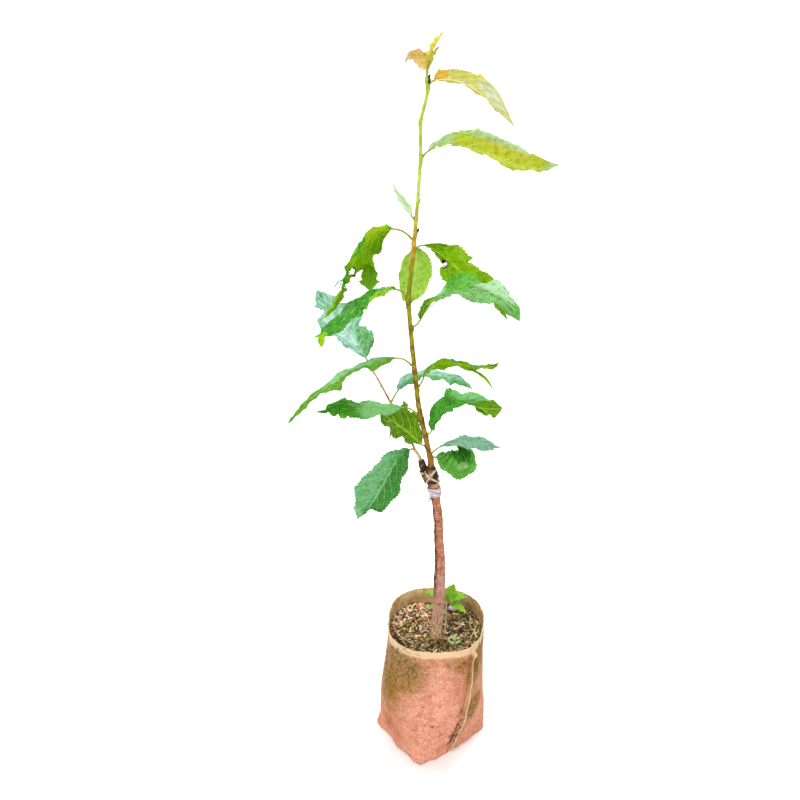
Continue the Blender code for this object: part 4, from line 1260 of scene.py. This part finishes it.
def blade_grid(leaf, look, teeth, half):
    """(grid, u, v) of the blade, with its teeth, bites, waves and curls."""
    rows = teeth * ROWS_PER_TOOTH
    u = np.linspace(0, 1, rows + 1)
    bearing = leaf.bearing + leaf.sweep * u
    left = heading(bearing + 90, 0 * u)
    up = np.cross(heading(bearing, leaf.pitch_at(u)), left)
    middle = leaf.midrib(rows)
    phase = (u * teeth) % 1.0
    saw = np.where(phase < 0.8, phase / 0.8, (1 - phase) / 0.2) - 0.5
    seed = look.get("seed", 0.0)
    grid = np.zeros((rows + 1, 2 * half + 1, 3))
    grid[:, half] = middle
    shares = (np.arange(half) + 1) / half
    for side in (1, -1):
        width = leaf.width_at(u, side)
        width = width * (1 + look.get("depth", 0.095) * saw * smooth_step(u / 0.08) * (1 - 0.5 * u))
        for bitten_side, start, end, kept in look.get("bites", ()):
            if bitten_side == side:
                ragged = 0.22 * noise_at(np.stack([u * 60, 0 * u, 0 * u], -1), 1.0, seed + start * 9)
                width = width * (1 - (1 - kept + ragged * (1 - kept)) * window(u, start, end, 0.035))
        flat_lift = leaf.fold + side * mix(leaf.roll[0], leaf.roll[1], u)
        ripple = np.sin(FULL_TURN * (WAVES_ALONG * u + 0.19 * side + seed)) * smooth_step(u / 0.15)
        ripple = look.get("waves", 11) * ripple
        edge = middle.copy()
        previous = 0.0
        for step, v in enumerate(shares):
            part = v - previous
            previous = v
            bend = leaf.curl * (v - part / 2) + ripple * v * v * 1.5
            for curled_side, start, end, angle in look.get("curls", ()):
                if curled_side == side:
                    bend = bend + angle * v * v * window(u, start, end, 0.10)
            lift = np.radians(flat_lift + bend)
            across = side * left * np.cos(lift)[:, None] + up * np.sin(lift)[:, None]
            edge = edge + across * (width * part)[:, None]
            grid[:, half + side * (step + 1)] = edge
    return grid, *np.meshgrid(u, np.concatenate([-shares[::-1], [0], shares]), indexing="ij")


def spots(u, v, marks, grid):
    """How strongly soft patches show: each is (along, across, reach along, reach across, strength)."""
    ragged = noise_at(grid, 320, 4.0) * 0.35
    value = np.zeros(u.shape)
    for mark_u, mark_v, reach_u, reach_v, strength in marks:
        away = ((u - mark_u) / reach_u) ** 2 + ((v - mark_v) / reach_v) ** 2
        value = np.maximum(value, strength * (1 - smooth_step((away + ragged - 0.55) / 0.9)))
    return value


def grid_normals(grid):
    return unit(np.cross(np.gradient(grid, axis=0), np.gradient(grid, axis=1)))


def add_leaf(build, leaf, look, kinds, thickness, rib_radius, keep_values=True, reach_in=0.0):
    """One leaf: kinds are its upper, under and petiole materials, and reach_in is towards its stem."""
    teeth = look.get("teeth") or max(6, round(leaf.length / TOOTH_LENGTH))
    rows = teeth * ROWS_PER_TOOTH
    half = look.get("columns", 16)
    grid, u, v = blade_grid(leaf, look, teeth, half)
    off_rib = np.abs(v)
    phase = ((u - 0.14 * off_rib - 0.18 * v * v) * look.get("veins", 7) + 0.5 * (v > 0)) % 1.0
    off_vein = np.minimum(phase, 1 - phase) * 2
    fade = smooth_step((1 - off_rib) / 0.3) * smooth_step(off_rib / 0.12) * smooth_step((1 - u) / 0.12)
    quilt = leaf.half_width * QUILT * (1 - (1 - off_vein) ** 2.2) * fade
    pucker = leaf.half_width * PUCKER * noise_at(grid, 170, look.get("seed", 0.0) + 5.0)
    grid = grid + grid_normals(grid) * (quilt + pucker)[..., None]
    normal = grid_normals(grid)
    half_sheet = normal * (thickness / 2 * (1 - 0.6 * off_rib**6))[..., None]
    cell_u, cell_v = ((way[:-1, :-1] + way[1:, 1:]) / 2 for way in (u, v))
    kept = np.ones(cell_u.shape, bool)
    for hole_u, hole_v, reach_u, reach_v in look.get("holes", ()):
        away_u, away_v = (cell_u - hole_u) / reach_u, (cell_v - hole_v) / reach_v
        kept &= away_u**2 + away_v**2 > 1 + 0.35 * np.sin(9 * np.arctan2(away_v, away_u))
    values = {}
    if keep_values:
        tint, scar, lime = (spots(u, v, look.get(name, ()), grid) for name in ("tints", "scars", "limes"))
        for hole_u, hole_v, reach_u, reach_v in look.get("holes", ()):
            ring = np.sqrt(((u - hole_u) / reach_u) ** 2 + ((v - hole_v) / reach_v) ** 2)
            scar = np.maximum(scar, 0.95 * (1 - smooth_step((ring - 1.15) / 0.35)))
        values = {"tint": tint, "scar": scar, "lime": lime}
        values = {name: np.tile(value.ravel(), 2) for name, value in values.items()}
        values["blade"] = np.tile(np.stack([u, v, 0 * u], -1).reshape(-1, 3), (2, 1))
    add_sheet(build, grid + half_sheet, grid - half_sheet, kept, kinds, values)
    for shred in look.get("shreds", ()):
        add_shred(build, shred, grid[round(shred[0] * rows), round(half * (1 + shred[1]))], kinds, thickness)
    inside = max(2, int(rows * 0.96))
    below = -normal[1 : inside + 1, half] * np.linspace(0.6, 0.4, inside)[:, None] * rib_radius
    rib = (leaf.midrib(rows)[1 : inside + 1] + below)[::3]
    petiole = leaf.petiole_points(FINE_PETIOLE_STEPS)
    path = np.concatenate([[petiole[0] - unit(petiole[1] - petiole[0]) * reach_in], petiole, rib])
    swell = 1 + 0.35 * np.exp(-np.arange(len(petiole)) / 2.2)
    taper = np.linspace(1, 0.16, len(rib)) ** 0.8 * 0.62
    radii = rib_radius * np.concatenate([[1.35], swell * 1.15, taper])
    base = len(petiole) + 1
    add_tube(build, path[: base + 1], radii[: base + 1], kinds[2], 10)
    add_tube(build, path[base:], radii[base:], kinds[1], 10)


def add_shred(build, shred, foot, kinds, thickness):
    """A torn strip that hangs from a blade; face is 1 where its underside is outward."""
    share, _, turn, pitches, length, width, roll, face, lime = shred
    leaf = Leaf(foot, turn, 0.0004, pitches, length, width, roll=(roll, roll), fold=14, curl=8)
    fullness = 1.55 if width > 0.009 else 1.0
    look = dict(teeth=max(3, round(length / 0.004)), columns=6, seed=share, depth=0.12, waves=16,
                limes=((0.5, 0, 2, 3, lime),), bites=((1, 0.60, 0.94, fullness), (-1, 0.60, 0.94, fullness)))
    add_leaf(build, leaf, look, (kinds[face], kinds[1 - face], kinds[face]), thickness, 0.0002)


def add_sheet(build, top, under, kept, kinds, values):
    """Two faces of a thin sheet where its cells are kept, joined round every edge."""
    rows, columns = top.shape[:2]
    index = np.arange(rows * columns).reshape(rows, columns)
    shift = rows * columns
    a, b, c, d = corners(index, kept)
    faces = [np.stack([a, d, c, b], 1), np.stack([a, b, c, d], 1) + shift]
    marks = [np.full(len(a), kinds[0]), np.full(len(a), kinds[1])]
    padded = np.pad(kept, 1)
    for step_u, step_v, first, second in (
        (-1, 0, (0, 0), (0, 1)), (0, 1, (0, 1), (1, 1)), (1, 0, (1, 1), (1, 0)), (0, -1, (1, 0), (0, 0)),
    ):
        open_side = kept & ~padded[1 + step_u : rows + step_u, 1 + step_v : columns + step_v]
        cell_u, cell_v = np.nonzero(open_side)
        p = index[cell_u + first[0], cell_v + first[1]]
        q = index[cell_u + second[0], cell_v + second[1]]
        faces.append(np.stack([p, q, q + shift, p + shift], 1))
        marks.append(np.full(len(p), kinds[1]))
    build.add(np.stack([top, under]), np.concatenate(faces), np.concatenate(marks), **values)


def leaf_material(name, colours, vein_strength, roughness, gloss, pairs=7.0, tone=1.0):
    """One face of a leaf: colours are its base, second, spot colour for tints and painted sheen, lime and
    vein colours.
    """
    base, second, tint, lime, vein = colours
    face = Shader(name, roughness, gloss)
    blade = face.own("blade", "Vector")
    v = face.split(blade, 1)
    off_rib = face.math("ABSOLUTE", v)
    drop = face.math("ADD", face.times(off_rib, 0.14), face.times(face.times(off_rib, off_rib), 0.18))
    right = face.times(face.math("GREATER_THAN", v, 0.0), 0.5)
    phase = face.math("ADD", face.times(face.math("SUBTRACT", face.split(blade, 0), drop), pairs), right)
    off_vein = face.math("PINGPONG", phase, 0.5)
    side_vein = face.times(face.span(off_vein, 0.030, 0.080, 1, 0), face.span(off_rib, 1.0, 0.7))
    ridges = face.math("MAXIMUM", side_vein, face.span(off_rib, 0.03, 0.08, 1, 0))
    net = face.times(face.span(face.cells(430, "DISTANCE_TO_EDGE"), 0.02, 0.14, 1, 0), 0.30)
    fine = face.noise(380)
    # Painted shade in the grooves along the side veins, laid in the darker second colour with the mottle.
    hollows = face.times(face.span(off_vein, 0.08, 0.24, 1, 0), face.span(off_rib, 0.05, 0.15))
    mottle_and_groove_shade = face.math("ADD", face.span(face.noise(60, 4), 0.38, 0.62, 0, 0.7), face.times(hollows, 0.7))
    face.colour = face.mix(face.math("MINIMUM", mottle_and_groove_shade, 1.0), base, second)
    face.lay(face.own("lime"), lime)
    # Tinted spots, and painted sheen: pale bluish patches of reflected sky light.
    face.lay(face.own("tint"), tint)
    dark = face.mix(0.72, face.colour, (0, 0, 0))
    face.lay(face.span(face.noise(170), 0.48, 0.36, 0, 0.40 * tone), dark)
    face.lay(face.span(fine, 0.48, 0.38, 0, 0.26 * tone), dark)
    face.lay(face.times(face.math("MAXIMUM", ridges, net), vein_strength), vein)
    face.lay(face.span(fine, 0.54, 0.70, 0, 0.26), face.mix(0.6, face.colour, vein))
    face.lay(face.own("scar"), (74, 44, 22))
    relief = face.math("SUBTRACT", face.times(fine, 0.8), ridges)
    return face.done(relief, 0.7, 0.0006, fine, min(1, roughness + 0.08), roughness - 0.08)


# Palettes: base, second, tints and painted sheen, lime and vein colours of a leaf's face
UPPER_GREEN = ((62, 156, 20), (32, 108, 6), (118, 182, 112), (138, 190, 10), (142, 204, 110))
UPPER_LUSH = ((104, 180, 66), (76, 154, 44), (176, 212, 150), (34, 120, 0), (146, 204, 108))
UPPER_DEEP = ((60, 152, 2), (30, 110, 0), (124, 184, 120), (140, 190, 6), (132, 196, 70))
UPPER_MID = ((88, 160, 54), (58, 130, 20), (124, 182, 124), (92, 144, 0), (156, 210, 126))
UPPER_TEAL = ((84, 158, 90), (60, 134, 60), (128, 186, 136), (44, 120, 26), (154, 212, 146))
# Its pale bluish tint colour is painted sheen on the upper side.
UPPER_BLUE_SHEEN = ((112, 172, 90), (78, 146, 52), (168, 208, 164), (76, 166, 0), (190, 224, 174))
# Its pale bluish base, second and tint colours are painted sheen on the upper side.
UPPER_SILVER_SHEEN = ((136, 188, 158), (104, 160, 124), (170, 200, 196), (74, 148, 56), (184, 218, 200))
UNDER_YELLOW = ((136, 192, 0), (108, 164, 0), (156, 200, 40), (190, 210, 10), (190, 222, 50))
UNDER_GREEN = ((90, 146, 0), (66, 120, 0), (140, 186, 50), (160, 200, 16), (190, 220, 80))
UNDER_PALE = ((186, 228, 90), (164, 212, 58), (196, 226, 150), (184, 214, 50), (208, 232, 130))
SHOOT_PALE = ((222, 242, 200), (204, 230, 170), (220, 236, 204), (184, 216, 100), (226, 240, 206))
GOLD = ((204, 200, 84), (200, 196, 100), (204, 214, 192), (226, 176, 20), (234, 232, 176))
GOLD_GREEN = ((194, 204, 34), (184, 200, 44), (178, 216, 158), (214, 190, 56), (228, 230, 120))
PEACH = ((238, 196, 122), (228, 166, 82), (244, 216, 160), (222, 196, 50), (246, 224, 150))
OLIVE = ((212, 208, 64), (190, 200, 44), (240, 196, 130), (226, 176, 60), (232, 226, 130))
BASAL = ((134, 190, 10), (98, 164, 6), (188, 222, 90), (172, 214, 40), (186, 222, 90))
# A petiole's two colours
PETIOLE_TAN = ((158, 168, 58), (128, 132, 40))
PETIOLE_GREEN = ((150, 176, 64), (126, 152, 44))

# Every leaf: stem, height, bearing, petiole, pitches at its foot, base, middle and tip, length, width,
# sweep, roll, fold, curl, nibbles (side, start, end, kept). Lengths in metres and angles in degrees.
LEAVES = {
    "leaf_01": (LEADER, 0.806, -9, 0.005, (50, 12, -36, -40), 0.096, 0.030, -11, (-30, -37), 21, 13,
                ((-1, 0.10, 0.36, 0.8),)),
    "leaf_02": (LEADER, 0.74, 20, 0.009, (53, 26, -20, 24), 0.142, 0.058, -16, (-2, -38), 23),
    "leaf_03": (LEADER, 0.682, 209, 0.005, (34, 68, 48, 74), 0.041, 0.015, 11, (20, -18), 5, -13),
    "leaf_04": (LEADER, 0.66, 196, 0.025, (52, -2, -67, -31), 0.124, 0.053, 0, (33, 30), 0, -30,
                ((-1, 0.14, 0.34, 1.3), (1, 0.20, 0.52, 0.7), (1, 0.52, 1, 0.3), (-1, 0.56, 1, 0.35))),
    "leaf_05": (LEADER, 0.656, 84, 0.013, (21, -60, -61, -53), 0.084, 0.038, 47, (-18, 24), 5, -10),
    "leaf_06": (LEADER, 0.6495, 33, 0.012, (47, -17, -39, 0), 0.110, 0.049, -4, (-10, -53), 17, -5,
                ((1, 0.04, 0.34, 0.55), (-1, 0.56, 0.95, 1.35))),
    "leaf_07": (LEADER, 0.5685, -19, 0.013, (32, 63, 3, -46), 0.131, 0.053, -14, (0, 36), 17, -8,
                ((1, 0.20, 0.58, 0.65),)),
    "leaf_08": (LEADER, 0.599, 214, 0.017, (55, 7, -38, -9), 0.104, 0.045, -11, (11, -15), 8, -13),
    "leaf_09": (LEADER, 0.521, 186, 0.021, (55, -8, -30, -42), 0.143, 0.041, 29, (-8, 10), -4, 0,
                ((1, 0.22, 0.42, 0.35), (1, 0.62, 0.75, 0.3))),
    "leaf_10": (LEADER, 0.461, 184, 0.020, (55, -7, 0, -11), 0.099, 0.035, 3, (-3, -35), 10, -25,
                ((-1, 0.86, 1, 0.15), (1, 0.82, 1, 0.6))),
    "leaf_11": (LEADER, 0.430, 150, 0.006, (-10, 32, 28, 34), 0.080, 0.047, 14, (93, 35), 7, -4,
                ((-1, 0, 0.32, 0.45),)),
    "leaf_12": (SIDE_SHOOT, 0.468, 46, 0.016, (55, 41, -6, -25), 0.105, 0.041, -69, (-13, 16), 12, -19),
    "leaf_13": (LEADER, 0.499, 29, 0.011, (49, 69, -9, 55), 0.097, 0.035, -68, (-38, -18), 8, -24),
    "leaf_14": (LEADER, 0.443, 10, 0.008, (25, 84, 3, -24), 0.103, 0.046, 21, (1, 22), 16, -11,
                ((-1, 0.08, 0.48, 0.35), (-1, 0.60, 0.92, 1.5))),
    "leaf_15": (LEADER, 0.418, 18, 0.012, (46, 20, -11, -20), 0.080, 0.027, 0, (-17, 52), 1, -6),
    "leaf_16": (LEADER, 0.414, 30, 0.004, (18, -47, 10, 183), 0.079, 0.044, -1, (38, 10), 20, -15),
    "leaf_17": (SIDE_SHOOT, 0.419, 213, 0.007, (33, -24, -54, -10), 0.103, 0.050, 15, (3, -38), 7, -3,
                ((1, 0.86, 1, 0.2), (-1, 0.55, 0.97, 1.6))),
    "leaf_18": (SIDE_SHOOT, None, 145, 0.003, (54, 46, 35, 39), 0.119, 0.054, -13, (-1, -54), 9, 0,
                ((1, 0.02, 0.32, 0.75), (1, 0.67, 0.75, 0.6))),
}


def looks(slot, upper, under, seed, **marks):
    return dict(marks, slot=slot, upper=upper, under=under, seed=seed)


# Each leaf's looks: its slot, upper and under palettes and seed, and then its marks. Places are along the
# blade, 0 to 1, and across it, -1 to 1. tints (spots of tint and painted sheen), limes and scars are spots.
# holes are (along, across, reach along, reach across). bites are (side, start, end, width kept), over 1 for a
# lobe, and curls are (side, start, end, angle). shreds are (along, across, bearing, pitches, length, width,
# roll, face, lime). tone is how dark the mottling is, waves how many degrees the edge ripples by, and depth
# how deep the teeth are.
LOOKS = {
    "leaf_01": looks(
        "leaf_gold", GOLD, GOLD, 0.10, waves=9, tone=0.5,
        bites=((-1, -0.02, 0.07, 1.35),), curls=((-1, 0.90, 1.05, -50),),
        tints=((0.62, -0.5, 0.18, 0.40, 0.7), (0.34, 0.1, 0.08, 0.30, 0.5), (0.85, -0.5, 0.10, 0.4, 0.5)),
        limes=((0.05, -0.2, 0.10, 1.4, 1.0), (0.34, 0.7, 0.16, 0.5, 0.9))),
    "leaf_02": looks(
        "leaf_gold", UPPER_BLUE_SHEEN, GOLD_GREEN, 0.22, waves=6, tone=0.8, depth=0.05,
        bites=((-1, 0.30, 0.75, 0.86),),
        tints=((0.05, -0.3, 0.12, 0.9, 1.0), (0.97, 0.0, 0.07, 1.0, 1.0), (0.40, -0.95, 0.34, 0.34, 0.9)),
        limes=((0.55, -0.7, 0.25, 0.30, 0.55), (0.40, -0.5, 0.10, 0.20, 0.4))),
    "leaf_03": looks(
        "leaf_pale", SHOOT_PALE, SHOOT_PALE, 0.31, petiole=PETIOLE_GREEN, tone=0.3,
        bites=((1, 0.72, 1.02, 0.45), (-1, 0.72, 1.02, 0.45))),
    "leaf_04": looks(
        "leaf_yellow", UPPER_DEEP, UNDER_YELLOW, 0.43, waves=16, tone=0.6, curls=((-1, 0.44, 0.56, 60),),
        holes=((0.52, -0.20, 0.030, 0.26), (0.62, 0.30, 0.02, 0.3), (0.66, -0.4, 0.012, 0.4),
               (0.69, 0.35, 0.014, 0.3)),
        bites=((-1, 0.62, 0.66, 0.3), (-1, 0.69, 0.72, 0.4), (1, 0.60, 0.64, 0.4), (1, 0.67, 0.70, 0.3)),
        limes=((0.10, 0.5, 0.14, 0.5, 0.9), (0.38, 0.4, 0.08, 0.4, 0.7), (0.85, 0.0, 0.22, 1.2, 0.6)),
        scars=((0.55, -0.75, 0.012, 0.14, 1.0),),
        shreds=((0.60, 0.6, 180, (10, -10, -50, -60), 0.014, 0.0022, 30, 1, 0),
                (0.58, 0.5, 200, (-30, -50, -70, -60), 0.018, 0.0022, 30, 1, 0),
                (0.40, -0.8, -94, (-60, -72, -80, -70), 0.026, 0.0190, 0, 0, 0.7))),
    "leaf_05": looks(
        "leaf_yellow", UNDER_PALE, UNDER_PALE, 0.57, tone=0.8,
        bites=((-1, 0.82, 1.0, 0.55), (1, 0.86, 1.0, 0.6)),
        scars=((0.55, 0.65, 0.014, 0.09, 0.8), (0.62, 0.45, 0.008, 0.05, 0.7), (0.82, 0.5, 0.012, 0.10, 0.9),
               (0.62, -0.75, 0.010, 0.06, 0.6))),
    "leaf_06": looks(
        "leaf_yellow", UPPER_GREEN, UNDER_YELLOW, 0.64, tints=((0.40, -0.8, 0.22, 0.35, 0.8),),
        holes=((0.36, 0.90, 0.020, 0.13), (0.39, 0.72, 0.012, 0.08), (0.41, 0.80, 0.008, 0.06)),
        scars=((0.33, 0.78, 0.03, 0.16, 1.0), (0.41, 0.68, 0.025, 0.16, 0.9)),
        bites=((1, 0.42, 0.56, 1.35), (-1, 0.44, 0.82, 0.66), (-1, 0.82, 1.0, 0.6)),
        shreds=((0.62, -0.70, 14, (-12, -28, -42, -52), 0.036, 0.0110, -50, 0, 0),)),
    "leaf_07": looks(
        "leaf_green", UPPER_BLUE_SHEEN, UNDER_GREEN, 0.71, curls=((1, 0.25, 0.55, 40),),
        tints=((0.68, 0.6, 0.14, 0.40, 0.9), (0.22, 0.1, 0.08, 0.8, 0.8), (0.80, 0.6, 0.08, 0.4, 0.5)),
        limes=((0.42, 0.8, 0.14, 0.7, 1.6), (0.94, 0.6, 0.05, 0.9, 0.6), (0.38, 0.2, 0.12, 0.5, 0.9)),
        bites=((1, 0.26, 0.52, 1.5), (1, 0.80, 0.83, 0.9), (1, 0.90, 0.97, 1.3), (-1, 0.76, 0.79, 0.7)),
        shreds=((0.77, -1.0, -28, (-40, -38, -44, -56), 0.022, 0.0052, 40, 1, 0),)),
    "leaf_08": looks(
        "leaf_green", UPPER_GREEN, UNDER_YELLOW, 0.83, scars=((0.24, 0.7, 0.012, 0.10, 0.9),),
        tints=((0.08, -0.9, 0.10, 0.9, 0.9), (0.55, -0.5, 0.12, 0.4, 0.3)),
        limes=((0.22, 0.75, 0.14, 0.45, 1.0), (0.95, 0.5, 0.09, 1.0, 0.9)),
        bites=((1, 0.30, 0.34, 0.7), (1, 0.44, 0.47, 0.7), (1, 0.58, 0.62, 0.8), (1, 0.84, 0.93, 1.1)),
        shreds=((0.90, 0.7, -100, (-30, -50, -70, -80), 0.013, 0.0080, 0, 1, 0),)),
    "leaf_09": looks(
        "leaf_green", UPPER_MID, UNDER_YELLOW, 0.91, tints=((0.32, -0.6, 0.28, 0.8, 1.1),),
        limes=((0.14, 0.7, 0.10, 0.9, 1.4), (0.46, 0.6, 0.14, 1.1, 1.5), (0.87, 0.0, 0.20, 1.2, 1.3)),
        bites=((1, 0.22, 0.34, 0.6), (1, 0.41, 0.53, 1.25), (1, 0.80, 0.84, 0.5), (1, 0.90, 0.93, 0.5))),
    "leaf_10": looks(
        "leaf_green", UPPER_DEEP, UNDER_GREEN, 0.17, limes=((0.97, 0.0, 0.06, 1.0, 0.4),),
        tints=((0.20, 0.0, 0.30, 1.4, 1.0), (0.45, -0.5, 0.16, 0.5, 0.5)),
        bites=((-1, 0.64, 0.86, 1.4), (1, 0.60, 0.63, 0.7), (1, 0.72, 0.75, 0.5), (1, 0.83, 0.86, 0.5))),
    "leaf_11": looks(
        "leaf_yellow", UPPER_GREEN, UNDER_GREEN, 0.29,
        bites=((-1, 0.12, 0.36, 1.6), (-1, 0.36, 0.58, 1.2), (-1, 0.53, 0.77, 1.8), (1, 0.22, 0.54, 1.45)),
        shreds=((0.40, 0.70, 160, (60, 70, 80, 85), 0.017, 0.0130, 50, 1, 0.3),)),
    "leaf_12": looks(
        "leaf_pale", UPPER_SILVER_SHEEN, UNDER_GREEN, 0.36, waves=16,
        limes=((0.22, -0.7, 0.18, 0.5, 1.0), (0.85, -0.6, 0.16, 0.7, 1.0), (0.60, -0.8, 0.2, 0.3, 0.8)),
        bites=((-1, 0.50, 0.74, 1.25), (-1, 0.76, 0.80, 0.6), (1, 0.68, 0.71, 0.75))),
    "leaf_13": looks(
        "leaf_green", UPPER_MID, UNDER_YELLOW, 0.48, waves=16,
        bites=((-1, 0.60, 0.66, 0.5), (1, 0.34, 0.38, 0.7)),
        scars=((0.50, -0.9, 0.03, 0.25, 0.9), (0.93, -0.6, 0.04, 0.5, 0.8)),
        shreds=((0.60, 0.9, -20, (-12, -14, -38, -74), 0.039, 0.0042, 40, 1, 0),)),
    "leaf_14": looks(
        "leaf_green", UPPER_GREEN, UNDER_GREEN, 0.52, scars=((0.76, -0.95, 0.02, 0.14, 1.0),),
        tints=((0.62, 0.55, 0.20, 0.5, 1.0), (0.85, 0.6, 0.14, 0.5, 0.9)),
        limes=((0.75, -0.8, 0.20, 0.5, 0.8),),
        bites=((1, 0.38, 0.45, 1.22), (1, 0.50, 0.58, 0.8), (1, 0.84, 0.98, 1.5), (-1, 0.04, 0.34, 2.2)),
        shreds=((0.56, -0.7, 8, (-26, -24, -8, 14), 0.033, 0.0180, 62, 1, 0),)),
    "leaf_15": looks(
        "leaf_pale", UPPER_SILVER_SHEEN, UNDER_GREEN, 0.66, bites=((1, 0.86, 0.98, 0.4), (-1, 0.86, 0.98, 0.4))),
    "leaf_16": looks(
        "leaf_green", UPPER_LUSH, UPPER_DEEP, 0.74, tints=((0.50, -0.2, 0.12, 0.3, 0.6),),
        limes=((0.74, 0.35, 0.26, 0.75, 1.3), (0.30, 0.95, 0.30, 0.35, 0.8)),
        bites=((1, 0.54, 0.86, 1.3), (1, 0.88, 0.98, 1.9), (-1, 0.88, 0.98, 1.6)),
        shreds=((0.77, 0.70, 100, (70, 76, 82, 86), 0.020, 0.0085, 0, 1, 0),)),
    "leaf_17": looks(
        "leaf_green", UPPER_TEAL, UNDER_GREEN, 0.85, limes=((0.45, 0.6, 0.60, 0.60, 1.0),),
        tints=((0.60, -0.6, 0.45, 0.5, 0.45), (0.97, 0.0, 0.07, 1.2, 1.0)),
        scars=((0.65, -0.42, 0.016, 0.09, 0.4),),
        bites=((-1, 0.40, 0.43, 0.88), (-1, 0.58, 0.68, 0.90), (-1, 0.86, 1.1, 1.15), (-1, 0.92, 1.1, 1.6),
               (1, 0.79, 0.87, 0.15))),
    "leaf_18": looks(
        "leaf_pale", UPPER_SILVER_SHEEN, UNDER_PALE, 0.93, limes=((0.12, -0.6, 0.22, 0.5, 0.9),),
        tints=((0.40, 0.3, 0.30, 0.5, 0.8),),
        bites=((1, 0.40, 0.44, 0.85), (1, 0.68, 0.75, 0.6), (1, 0.84, 0.88, 0.8), (-1, 0.08, 0.26, 1.2),
               (-1, 0.33, 0.38, 0.7), (-1, 0.66, 0.74, 0.75))),
}

# The tip's leaves: height on its shoot, bearing, petiole, pitches, material, length, width, roll, fold
TIP_LEAVES = (
    (0.831, 5, 0.004, (70, 60, 55, 58), 0, 0.024, 0.011, 30, 24),
    (0.829, 20, 0.002, (60, 50, 45, 40), 2, 0.013, 0.008, 0, 30),
    (0.822, -20, 0.003, (60, 62, 55, 40), 0, 0.019, 0.013, 0, 15),
    (0.826, 190, 0.002, (60, 40, 0, -95), 2, 0.025, 0.017, 20, 15),
    (0.820, 185, 0.002, (60, 50, 38, 25), 2, 0.020, 0.010, 50, 10),
    (0.821, 200, 0.002, (62, 58, 50, 30), 0, 0.019, 0.010, 45, 12),
    (0.818, 10, 0.002, (70, 66, 60, 50), 0, 0.015, 0.006, 0, 20),
    (0.827, 95, 0.002, (66, 60, 50, 50), 0, 0.014, 0.008, 0, 20),
)
# The basal shoot's leaves: height on it, bearing, petiole, pitches, length, width
BASAL_LEAVES = (
    (0.202, 60, 0.004, (60, 50, 40, 30), 0.024, 0.018),
    (0.202, 10, 0.006, (60, 40, 10, -10), 0.025, 0.016),
    (0.198, -15, 0.008, (50, 20, -20, -40), 0.022, 0.014),
    (0.200, 150, 0.010, (60, 35, -5, -35), 0.028, 0.015),
    (0.190, 165, 0.010, (50, 25, -20, -45), 0.020, 0.012),
)


def make_leaves():
    for name, (stem, height, bearing, petiole, pitches, *sizes) in LEAVES.items():
        look = LOOKS[name]
        tone = look.get("tone", 1.0)
        piece = Build(name + "_blade", [
            leaf_material(name + "_upper", look["upper"], 0.60, 0.52, 0.12, tone=tone),
            leaf_material(name + "_under", look["under"], 0.62, 0.62, 0.05, tone=tone),
            plain(name + "_petiole", *look.get("petiole", PETIOLE_TAN), 260, 0.5, 0.3, 0.0003, 0.4),
        ])
        leaf = Leaf(leaf_foot(stem, height, bearing, pitches[0]), bearing, petiole, pitches, *sizes)
        add_leaf(piece, leaf, look, (0, 1, 2), BLADE_THICKNESS, PETIOLE_RADIUS, reach_in=0.0012)
        piece.finish(name)


def make_tip():
    tip = Build("tip", [
        leaf_material("tip_olive", OLIVE, 0.5, 0.5, 0.2, pairs=6.0),
        leaf_material("tip_gold", GOLD, 0.5, 0.5, 0.2),
        leaf_material("tip_peach", PEACH, 0.5, 0.5, 0.2),
        plain("tip_stem", (186, 176, 78), (150, 130, 56), 400, 0.5),
        plain("tip_speck", (60, 40, 26), (36, 24, 16), 600, 0.7),
    ])
    stem, speck = 3, 4
    points, radii = stem_curve(TIP_SHOOT, SMALL_STEM_STEP)
    add_tube(tip, points, radii, stem, 20, lambda grid: 0.0001 * noise_at(grid, 500, 2.0))
    for number, (height, bearing, petiole, pitches, face, length, width, roll, fold) in enumerate(TIP_LEAVES):
        foot = point_on(TIP_SHOOT, height)[0]
        leaf = Leaf(foot, bearing, petiole, pitches, length, width, roll=(roll, roll), fold=fold)
        look = dict(teeth=12, depth=0.09, columns=8, veins=6, waves=12, seed=0.2 * number,
                    limes=((0.2, 0.3, 0.2, 0.6, 0.6),), tints=((0.95, 0.0, 0.3, 2.0, 0.8),))
        add_leaf(tip, leaf, look, (face, face, stem), SMALL_BLADE_THICKNESS, 0.0005)
    for height, bearing in ((0.8209, 30), (0.8182, 10), (0.8300, 200)):
        add_bud(tip, TIP_SHOOT, height, bearing, 0.0016, 0.0010, speck, lean=2.5, rise=20)
    tip.finish("tip_leaves")


def make_basal():
    sprig = Build("sprig", [
        leaf_material("basal_upper", BASAL, 0.4, 0.5, 0.2),
        leaf_material("basal_under", UNDER_PALE, 0.5, 0.6, 0.15),
        plain("basal_stem", (214, 212, 160), (176, 184, 116), 400, 0.5),
    ])
    points, radii = stem_curve(BASAL_SHOOT, SMALL_STEM_STEP)
    add_tube(sprig, points, radii, 2, 16, lambda grid: 0.00008 * noise_at(grid, 500, 2.0))
    for number, (height, bearing, *sizes) in enumerate(BASAL_LEAVES):
        leaf = Leaf(point_on(BASAL_SHOOT, height)[0], bearing, *sizes)
        look = dict(teeth=5, depth=0.42, columns=8, veins=4, waves=14, seed=0.3 * number)
        add_leaf(sprig, leaf, look, (0, 1, 2), SMALL_BLADE_THICKNESS, 0.0005)
    sprig.finish("basal_shoot")


def main():
    make_camera()
    make_stage()
    make_light_rig()
    cloth, edge = cloth_material("bag_cloth_outer"), edge_material("bag_cut_edge")
    make_bag(cloth, cloth_material("bag_cloth_inner", inner=True), edge)
    make_seam(cloth, edge)
    make_soil()
    make_rootstock()
    make_film()
    make_leader()
    make_side_shoot()
    make_leaves()
    make_tip()
    make_basal()


main()
